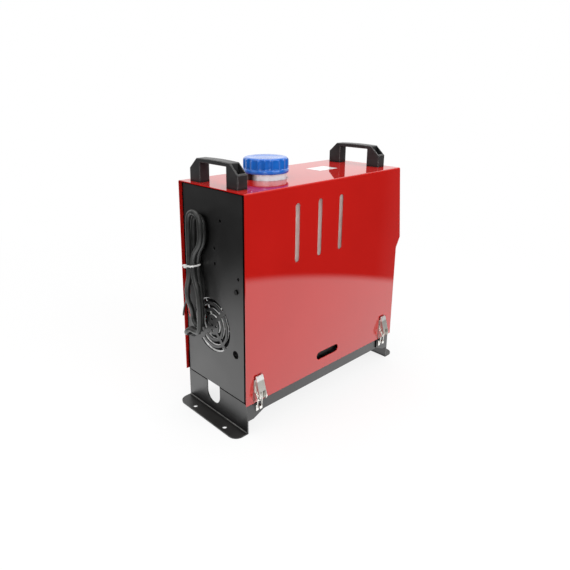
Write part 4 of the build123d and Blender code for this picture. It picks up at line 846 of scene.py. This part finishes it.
BLACK_ROUTE = (
    (INNER, 0.0542, 0.195),
    (INNER, 0.0542, 0.186),
    (-0.17565, 0.0554, 0.179),
    (-0.17615, 0.059, 0.167),
    (-0.17715, 0.065, 0.154),
    (-0.17615, 0.0685, 0.1415),
)
RED_ROUTE = (
    (INNER, 0.0506, 0.195),
    (INNER, 0.0506, 0.186),
    (-0.17565, 0.0512, 0.179),
    (-0.17615, 0.0534, 0.170),
    (-0.17615, 0.053, 0.157),
    (INNER, 0.051, 0.145),
)
BLACK_LENGTH = 0.0559
RED_LENGTH = 0.0504
CORES = (
    ("black_core", "black_conductor", BLACK_ROUTE, BLACK_LENGTH, "black_insulation"),
    ("red_core", "red_conductor", RED_ROUTE, RED_LENGTH, "red_insulation"),
)
# The line's order, its steps from point to point, and how finely its section is rounded
CORD_ORDER = 3
CORD_STEPS = 10
CORD_ROUNDING = 6


def cord_curve(name, route, diameter):
    """A round cord along a smooth line with the route's points as its control points."""
    data = bpy.data.curves.new(name, "CURVE")
    data.dimensions = "3D"
    spline = data.splines.new("NURBS")
    spline.points.add(len(route) - 1)
    for point, place in zip(spline.points, route):
        point.co = (*place, 1.0)
    spline.order_u = CORD_ORDER
    spline.use_endpoint_u = True
    spline.use_smooth = True
    data.resolution_u = CORD_STEPS
    data.bevel_depth = diameter / 2
    data.bevel_resolution = CORD_ROUNDING
    data.use_fill_caps = True
    cord = bpy.data.objects.new(name, data)
    bpy.context.scene.collection.objects.link(cord)
    return cord


class HEATER_OT_lead(bpy.types.Operator):
    """Wind the power lead into its tied hank, with the two conductors at its end"""

    bl_idname = "heater.lead"
    bl_label = "Power Lead"

    def execute(self, context):
        sizes = context.scene.heater_sizes
        lead = cord_curve("power_lead_hank", LEAD_ROUTE, sizes.lead_diameter)
        dress(lead, "chassis", "lead_jacket")
        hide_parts("power_lead", "lead_hank")
        for name, node, route, long, slot in CORES:
            core = cord_curve(name, route, sizes.core_diameter)
            dress(core, "chassis", slot)
            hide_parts(node)
        return {"FINISHED"}


# ---- filler cap ----

# Half of the cap's section: radius, and height above its rim, in millimetres
CAP_SECTION = (
    (0.0, 21.6),
    (20.0, 21.6),
    (21.5, 21.9),
    (28.2, 22.0),
    (29.8, 21.8),
    (31.2, 21.2),
    (32.3, 20.2),
    (32.9, 19.0),
    (33.1, 17.6),
    (33.15, 16.0),
    (33.2, 8.0),
    (33.2, 7.0),
    (33.2, 6.2),
    (33.2, 5.5),
    (33.25, 4.9),
    (33.5, 4.3),
    (33.68, 3.6),
    (33.68, 0.7),
    (33.2, 0.05),
    (32.0, 0.05),
    (31.7, 0.4),
    (31.7, 6.8),
    (0.0, 6.8),
)
# Heights between which a finger grip fades in above the skirt, and fades out under the crown
FLUTE_FOOT = (4.6 * MM, 6.8 * MM)
FLUTE_HEAD = (21.8 * MM, 17.6 * MM)
FLUTE_STEPS = 12
FLUTE_ROUNDNESS = 0.7
# The crown inside the first radius, and the hollow inside the second and below this height, stay
# as they are turned
CROWN_RADIUS = 29.5 * MM
HOLLOW_RADIUS = 31.8 * MM
HOLLOW_TOP = 6.9 * MM
# Vertices nearer than this are merged
WELD = 0.01 * MM


def eased(value, start, end):
    """Zero at start, one at end, smooth between."""
    part = min(1.0, max(0.0, (value - start) / (end - start)))
    return part * part * (3 - 2 * part)


def press_flute(vert, sizes):
    """Move one vertex of the turned cap in by the depth of the finger grip there."""
    out = math.hypot(vert.co.x, vert.co.y)
    if out < CROWN_RADIUS or vert.co.z < FLUTE_FOOT[0]:
        return
    if out < HOLLOW_RADIUS and vert.co.z < HOLLOW_TOP:
        return
    along = math.atan2(vert.co.y, vert.co.x) * sizes.cap_flutes / 2
    ends = eased(vert.co.z, *FLUTE_FOOT) * eased(vert.co.z, *FLUTE_HEAD)
    inward = sizes.flute_depth * ends * abs(math.cos(along)) ** FLUTE_ROUNDNESS
    vert.co.x *= 1 - inward / out
    vert.co.y *= 1 - inward / out


class HEATER_OT_cap(bpy.types.Operator):
    """Turn the filler cap and press its finger grips"""

    bl_idname = "heater.cap"
    bl_label = "Filler Cap"

    def execute(self, context):
        sizes = context.scene.heater_sizes
        low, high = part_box("fuel_cap")
        middle = (low + high) / 2
        mesh = bmesh.new()
        verts = [mesh.verts.new((radius * MM, 0, height * MM)) for radius, height in CAP_SECTION]
        edges = [mesh.edges.new(pair) for pair in zip(verts, verts[1:])]
        bmesh.ops.spin(
            mesh,
            geom=verts + edges,
            cent=(0, 0, 0),
            axis=(0, 0, 1),
            angle=math.tau,
            steps=sizes.cap_flutes * FLUTE_STEPS,
            use_merge=True,
        )
        bmesh.ops.remove_doubles(mesh, verts=mesh.verts, dist=WELD)
        for vert in mesh.verts:
            press_flute(vert, sizes)
        bmesh.ops.translate(mesh, vec=(middle.x, middle.y, low.z), verts=mesh.verts)
        bmesh.ops.recalc_face_normals(mesh, faces=mesh.faces)
        cap = dress(from_bmesh("filler_cap", mesh, smooth_angle=40), "fuel_cap", "cap_plastic")
        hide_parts("fuel_cap")
        return {"FINISHED"}


# ---- wire guard ----

# Radii of the rings, number of straight arms, and how far the rings stay behind the solid's front
GUARD_RINGS = (13.5 * MM, 22.8 * MM, 32.0 * MM, 41.0 * MM)
GUARD_ARMS = 3
GUARD_SETBACK = 0.4 * MM
# Thickness of a flattened wire as a share of its width
WIRE_FLATNESS = 0.6
WIRE_SIDES = 16
RING_STEPS = 96
ARM_SIDES = 10


def wire_ring(mesh, radius, wire):
    """A ring of flattened wire that stands across X, added to a mesh."""
    start = bmesh.ops.create_circle(mesh, cap_ends=False, radius=wire / 2, segments=WIRE_SIDES)["verts"]
    bmesh.ops.scale(mesh, vec=(WIRE_FLATNESS, 1, 1), verts=start)
    bmesh.ops.translate(mesh, vec=(0, radius, 0), verts=start)
    bmesh.ops.spin(
        mesh,
        geom=start + edges_of(start),
        cent=(0, 0, 0),
        axis=(1, 0, 0),
        angle=math.tau,
        steps=RING_STEPS,
        use_merge=True,
    )


def wire_arm(mesh, turn, wire):
    """A thin rod across all the rings and behind them, added to a mesh."""
    rod = bmesh.ops.create_cone(
        mesh,
        cap_ends=True,
        segments=ARM_SIDES,
        radius1=wire / 4,
        radius2=wire / 4,
        depth=2 * GUARD_RINGS[-1],
    )["verts"]
    bmesh.ops.translate(mesh, vec=(wire / 2, 0, 0), verts=rod)
    bmesh.ops.rotate(mesh, cent=(0, 0, 0), matrix=Matrix.Rotation(turn, 3, "X"), verts=rod)


class HEATER_OT_guard(bpy.types.Operator):
    """Bend the chrome wire guard that shows through the grille"""

    bl_idname = "heater.guard"
    bl_label = "Wire Guard"

    def execute(self, context):
        wire = context.scene.heater_sizes.wire_diameter
        low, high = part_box("intake_guard")
        middle = (low + high) / 2
        mesh = bmesh.new()
        for radius in GUARD_RINGS:
            wire_ring(mesh, radius, wire)
        for arm in range(GUARD_ARMS):
            wire_arm(mesh, math.pi * (arm + 0.5) / GUARD_ARMS, wire)
        front = low.x + GUARD_SETBACK + WIRE_FLATNESS * wire / 2
        bmesh.ops.translate(mesh, vec=(front, middle.y, middle.z), verts=mesh.verts)
        bmesh.ops.recalc_face_normals(mesh, faces=mesh.faces)
        guard = dress(from_bmesh("wire_guard", mesh, smooth_angle=40), "chassis", "guard_wire")
        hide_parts("intake_guard")
        return {"FINISHED"}


# ---- painted shadow strips and folds ----

# How far a painted shadow strip stands out of the sheet
SHADOW_STRIP_PROUD = 0.1 * MM
# The top strip and the foot's strip of painted shadow, as shares of the strip's width
TOP_SHADOW_STRIP = 0.7
FOOT_SHADOW_STRIP = 1.5
# Thickness of the plate's sheet and of the feet's
PLATE_SHEET = 1.5 * MM
FOOT_SHEET = 2.0 * MM
# Where the foot's pipe notch is across the plate
NOTCH_MIDDLE = 8.5 * MM
NOTCH_HALF = 15.5 * MM
# The fold's radius, its steps, and how far it stays from the flange's ends
FOLD_RADIUS = 1.3 * MM
FOLD_STEPS = 6
FOLD_INSET = 1.0 * MM


def foot_fold(mesh, low, high, wall, out):
    """The hollow round of the corner between a foot's flange and its wall, added to a mesh."""
    top = low.z + FOOT_SHEET
    side = low.y + FOLD_INSET
    ring = [mesh.verts.new((wall, side, top)), mesh.verts.new((wall, side, top + FOLD_RADIUS))]
    before = set(mesh.verts)
    bmesh.ops.spin(
        mesh,
        geom=ring[1:],
        cent=(wall + out * FOLD_RADIUS, side, top + FOLD_RADIUS),
        axis=(0, -out, 0),
        angle=math.radians(90),
        steps=FOLD_STEPS,
    )
    arc = [vert for vert in mesh.verts if vert not in before]
    ring.extend(sorted(arc, key=lambda vert: -vert.co.z))
    drawn = bmesh.ops.extrude_face_region(mesh, geom=[mesh.faces.new(ring)])
    run = high.y - low.y - 2 * FOLD_INSET
    bmesh.ops.translate(mesh, vec=(0, run, 0), verts=verts_of(drawn))


class HEATER_OT_shadow_strips(bpy.types.Operator):
    """Lay the dark strips of painted shadow round the intake end plate, and the feet's folds with their
    painted highlight
    """

    bl_idname = "heater.seams"
    # The strips are painted shadow, and the folds carry a painted highlight
    bl_label = "Seams and Folds"

    def execute(self, context):
        width = context.scene.heater_sizes.shadow_strip_width
        low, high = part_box("intake_end_plate")
        face = low.x
        proud = face - SHADOW_STRIP_PROUD
        mesh = bmesh.new()
        # Painted shadow: dark strips along the plate's sides and top, and under its lower edge
        for side in (low.y, high.y - width):
            block(mesh, (proud, side, low.z), (face, side + width, high.z))
        block(mesh, (proud, low.y, high.z - TOP_SHADOW_STRIP * width), (face, high.y, high.z))
        back = face + PLATE_SHEET
        for start, end in ((low.y, NOTCH_MIDDLE - NOTCH_HALF), (NOTCH_MIDDLE + NOTCH_HALF, high.y)):
            block(mesh, (back - SHADOW_STRIP_PROUD, start, low.z - FOOT_SHADOW_STRIP * width), (back, end, low.z))
        dress(from_bmesh("plate_seams", mesh), "chassis", "seam_black")
        folds = bmesh.new()
        foot_fold(folds, *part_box("intake_foot"), back, -1)
        foot_fold(folds, *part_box("outlet_foot"), -back, 1)
        bmesh.ops.recalc_face_normals(folds, faces=folds.faces)
        # Painted highlight on the feet's folds
        dress(from_bmesh("foot_folds", folds, smooth_angle=40), "chassis", "rubbed_enamel")
        return {"FINISHED"}


# ---- label ----

LABEL_PLACE = (62.7 * MM, 7.8 * MM)
LABEL_SIZE = (43 * MM, 31 * MM)
LABEL_CORNER = 2 * MM
LABEL_CORNER_SEGMENTS = 5


class HEATER_OT_label(bpy.types.Operator):
    """Lay the bare white label on the cover's top"""

    bl_idname = "heater.label"
    bl_label = "Blank Label"

    def execute(self, context):
        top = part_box("cover_shell")[1].z
        mesh = bmesh.new()
        bmesh.ops.create_grid(mesh, x_segments=1, y_segments=1, size=0.5)
        bmesh.ops.scale(mesh, vec=(*LABEL_SIZE, 1), verts=mesh.verts)
        bmesh.ops.translate(mesh, vec=(*LABEL_PLACE, top), verts=mesh.verts)
        bmesh.ops.bevel(
            mesh,
            geom=list(mesh.verts),
            affect="VERTICES",
            offset=LABEL_CORNER,
            segments=LABEL_CORNER_SEGMENTS,
            profile=0.5,
            material=-1,
        )
        raised = bmesh.ops.extrude_face_region(mesh, geom=list(mesh.faces))
        sheet = context.scene.heater_sizes.label_sheet
        bmesh.ops.translate(mesh, vec=(0, 0, sheet), verts=verts_of(raised))
        bmesh.ops.recalc_face_normals(mesh, faces=mesh.faces)
        dress(from_bmesh("blank_label", mesh, smooth_angle=30), "cover", "blank_label")
        return {"FINISHED"}


# ---- finishes of the CAD parts ----


class HEATER_OT_finishes(bpy.types.Operator):
    """Give every CAD part its finish"""

    bl_idname = "heater.finishes"
    bl_label = "Finishes"

    def execute(self, context):
        for row in frame["record"]["subparts"]:
            part = frame["nodes"][row["node"]]
            part.data.materials.clear()
            part.data.materials.append(finish(SPECIAL.get(row["node"], row["material_slot"])))
        return {"FINISHED"}


# ---- stage ----

FLOOR_HALF = 6.0
# Level direction from the camera towards the room behind the heater, and how closely
# a direction has to agree with it for the backdrop's light to start and to be full
BEHIND = (0.68, 0.73, 0.0)
BEHIND_RANGE = (0.15, 0.6)
# Distances from the heater between which the floor fades to plain white
FLOOR_FADE = (0.3, 1.2)
# The bright table's edge ends at this many times its reach
TABLE_EDGE = 1.12
# How steeply up a direction points where the glossy sky starts to brighten, and where it is full
SKY_RANGE = (0.3, 0.9)
LIGHT_TARGET = (0, 0, 0.2)
# Each light's name in the studio's settings, its place and its size
LIGHTS = (
    ("key", (0.5, -2.2, 1.5), (1.8, 1.2)),
    ("front", (-1.35, -1.25, 0.8), (0.5, 0.5)),
    ("end", (-2.2, 0.6, 1.2), (1.2, 1.2)),
    ("top", (0.2, 0.4, 2.4), (1.6, 1.6)),
)


def soft_light(name, place, size, power):
    """A large soft light that looks at the heater."""
    data = bpy.data.lights.new(name, "AREA")
    data.shape = "RECTANGLE"
    data.size, data.size_y = size
    data.energy = power
    light = bpy.data.objects.new(name, data)
    bpy.context.scene.collection.objects.link(light)
    light.location = place
    light.rotation_euler = (Vector(LIGHT_TARGET) - Vector(place)).to_track_quat("-Z", "Y").to_euler()


def backdrop_light(tree, studio, way, least):
    """Brightness of the room in a direction from the heater: the lit backdrop, or the dark side."""
    flat = add(tree, "ShaderNodeVectorMath", {0: way}, operation="NORMALIZE").outputs[0]
    away = add(tree, "ShaderNodeVectorMath", {0: flat, 1: BEHIND}, operation="DOT_PRODUCT").outputs["Value"]
    return ramp(tree, away, *BEHIND_RANGE, least, studio.back_glow)


def floor_paper(studio):
    """White paper with soft shadows. In glossy surfaces the near table is bright and the rest dark."""
    material = bpy.data.materials.new("floor_paper")
    material.use_nodes = True
    tree = material.node_tree
    tree.nodes.clear()
    path = add(tree, "ShaderNodeLightPath").outputs
    tone = blended(tree, path["Is Diffuse Ray"], 1.0, studio.bounce)
    feeds = {0: studio.floor_colour, "Scale": tone}
    shade = add(tree, "ShaderNodeVectorMath", feeds, operation="SCALE").outputs[0]
    paper = add(tree, "ShaderNodeBsdfDiffuse", {"Color": shade}).outputs[0]
    white = add(tree, "ShaderNodeEmission", {"Color": WHITE, "Strength": 1.0}).outputs[0]
    place = object_place(tree)
    apart = add(tree, "ShaderNodeVectorMath", {0: place}, operation="LENGTH").outputs["Value"]
    fade = ramp(tree, apart, *FLOOR_FADE, studio.backdrop, 1.0)
    seen_white = math_of(tree, path["Is Camera Ray"], fade, "MULTIPLY")
    seen = add(tree, "ShaderNodeMixShader", {0: seen_white, 1: paper, 2: white}).outputs[0]
    reach = ramp(
        tree,
        apart,
        studio.table_reach,
        studio.table_reach * TABLE_EDGE,
        studio.table_glow,
        backdrop_light(tree, studio, place, studio.far_glow),
        interpolation_type="SMOOTHSTEP",
    )
    glow = add(tree, "ShaderNodeEmission", {"Color": WHITE, "Strength": reach}).outputs[0]
    both = add(tree, "ShaderNodeMixShader", {0: path["Is Glossy Ray"], 1: seen, 2: glow}).outputs[0]
    add(tree, "ShaderNodeOutputMaterial", {"Surface": both})
    return material


def studio_world(studio):
    """White to the camera, even light on what is rough, and a dark room with a lit end on what is glossy."""
    world = bpy.data.worlds.new("studio")
    world.use_nodes = True
    tree = world.node_tree
    tree.nodes.clear()
    path = add(tree, "ShaderNodeLightPath").outputs
    way = add(tree, "ShaderNodeTexCoord").outputs["Generated"]
    aim = add(tree, "ShaderNodeSeparateXYZ", {0: way}).outputs["Z"]
    rise = ramp(tree, aim, *SKY_RANGE, studio.horizon, 1.0)
    lit = math_of(tree, rise, backdrop_light(tree, studio, way, 0.0), "MAXIMUM")
    seen = blended(tree, path["Is Glossy Ray"], 1.0, lit)
    level = blended(tree, path["Is Diffuse Ray"], seen, studio.sky)
    sky = add(tree, "ShaderNodeBackground", {"Color": WHITE, "Strength": level}).outputs[0]
    add(tree, "ShaderNodeOutputWorld", {"Surface": sky})
    return world


class HEATER_OT_stage(bpy.types.Operator):
    """Lay the pale floor and hang the soft studio lights"""

    bl_idname = "heater.stage"
    bl_label = "Stage"

    def execute(self, context):
        studio = context.scene.heater_studio
        mesh = bmesh.new()
        bmesh.ops.create_grid(mesh, x_segments=1, y_segments=1, size=FLOOR_HALF)
        floor = from_bmesh("floor", mesh)
        floor.data.materials.append(floor_paper(studio))
        context.scene.world = studio_world(studio)
        for name, place, size in LIGHTS:
            soft_light(name, place, size, getattr(studio, name))
        context.scene.view_settings.view_transform = "Standard"
        return {"FINISHED"}


# ---- sidebar and registration ----

SETTINGS = {
    "heater_camera": HeaterCamera,
    "heater_studio": HeaterStudio,
    "heater_sizes": HeaterSizes,
    "heater_colours": HeaterColours,
}
OPERATORS = (
    HEATER_OT_camera,
    HEATER_OT_tie,
    HEATER_OT_lead,
    HEATER_OT_cap,
    HEATER_OT_guard,
    HEATER_OT_shadow_strips,
    HEATER_OT_label,
    HEATER_OT_finishes,
    HEATER_OT_stage,
)


class HEATER_PT_sidebar(bpy.types.Panel):
    """Lists the heater's settings and pieces"""

    bl_label = "Diesel Air Heater"
    bl_idname = "HEATER_PT_sidebar"
    bl_space_type = "VIEW_3D"
    bl_region_type = "UI"
    bl_category = "Heater"

    def draw(self, context):
        for name, kind in SETTINGS.items():
            box = self.layout.box()
            for setting in kind.__annotations__:
                box.prop(getattr(context.scene, name), setting)
        for operator in OPERATORS:
            self.layout.operator(operator.bl_idname)


CLASSES = (*SETTINGS.values(), *OPERATORS, HEATER_PT_sidebar)


def register():
    for item in CLASSES:
        bpy.utils.register_class(item)
    for name, kind in SETTINGS.items():
        setattr(bpy.types.Scene, name, bpy.props.PointerProperty(type=kind))


def unregister():
    for name in SETTINGS:
        delattr(bpy.types.Scene, name)
    for item in reversed(CLASSES):
        bpy.utils.unregister_class(item)


def main():
    register()
    for group in (surface_drift, brushed_lines, worn_and_highlit_edges, settled_dust, crevice_shade):
        tree = group()
        GROUPS[tree.name] = tree
    bpy.ops.heater.camera()
    bpy.ops.heater.tie()
    bpy.ops.heater.lead()
    bpy.ops.heater.cap()
    bpy.ops.heater.guard()
    bpy.ops.heater.seams()
    bpy.ops.heater.label()
    bpy.ops.heater.finishes()
    bpy.ops.heater.stage()


if __name__ == "__main__":
    main()
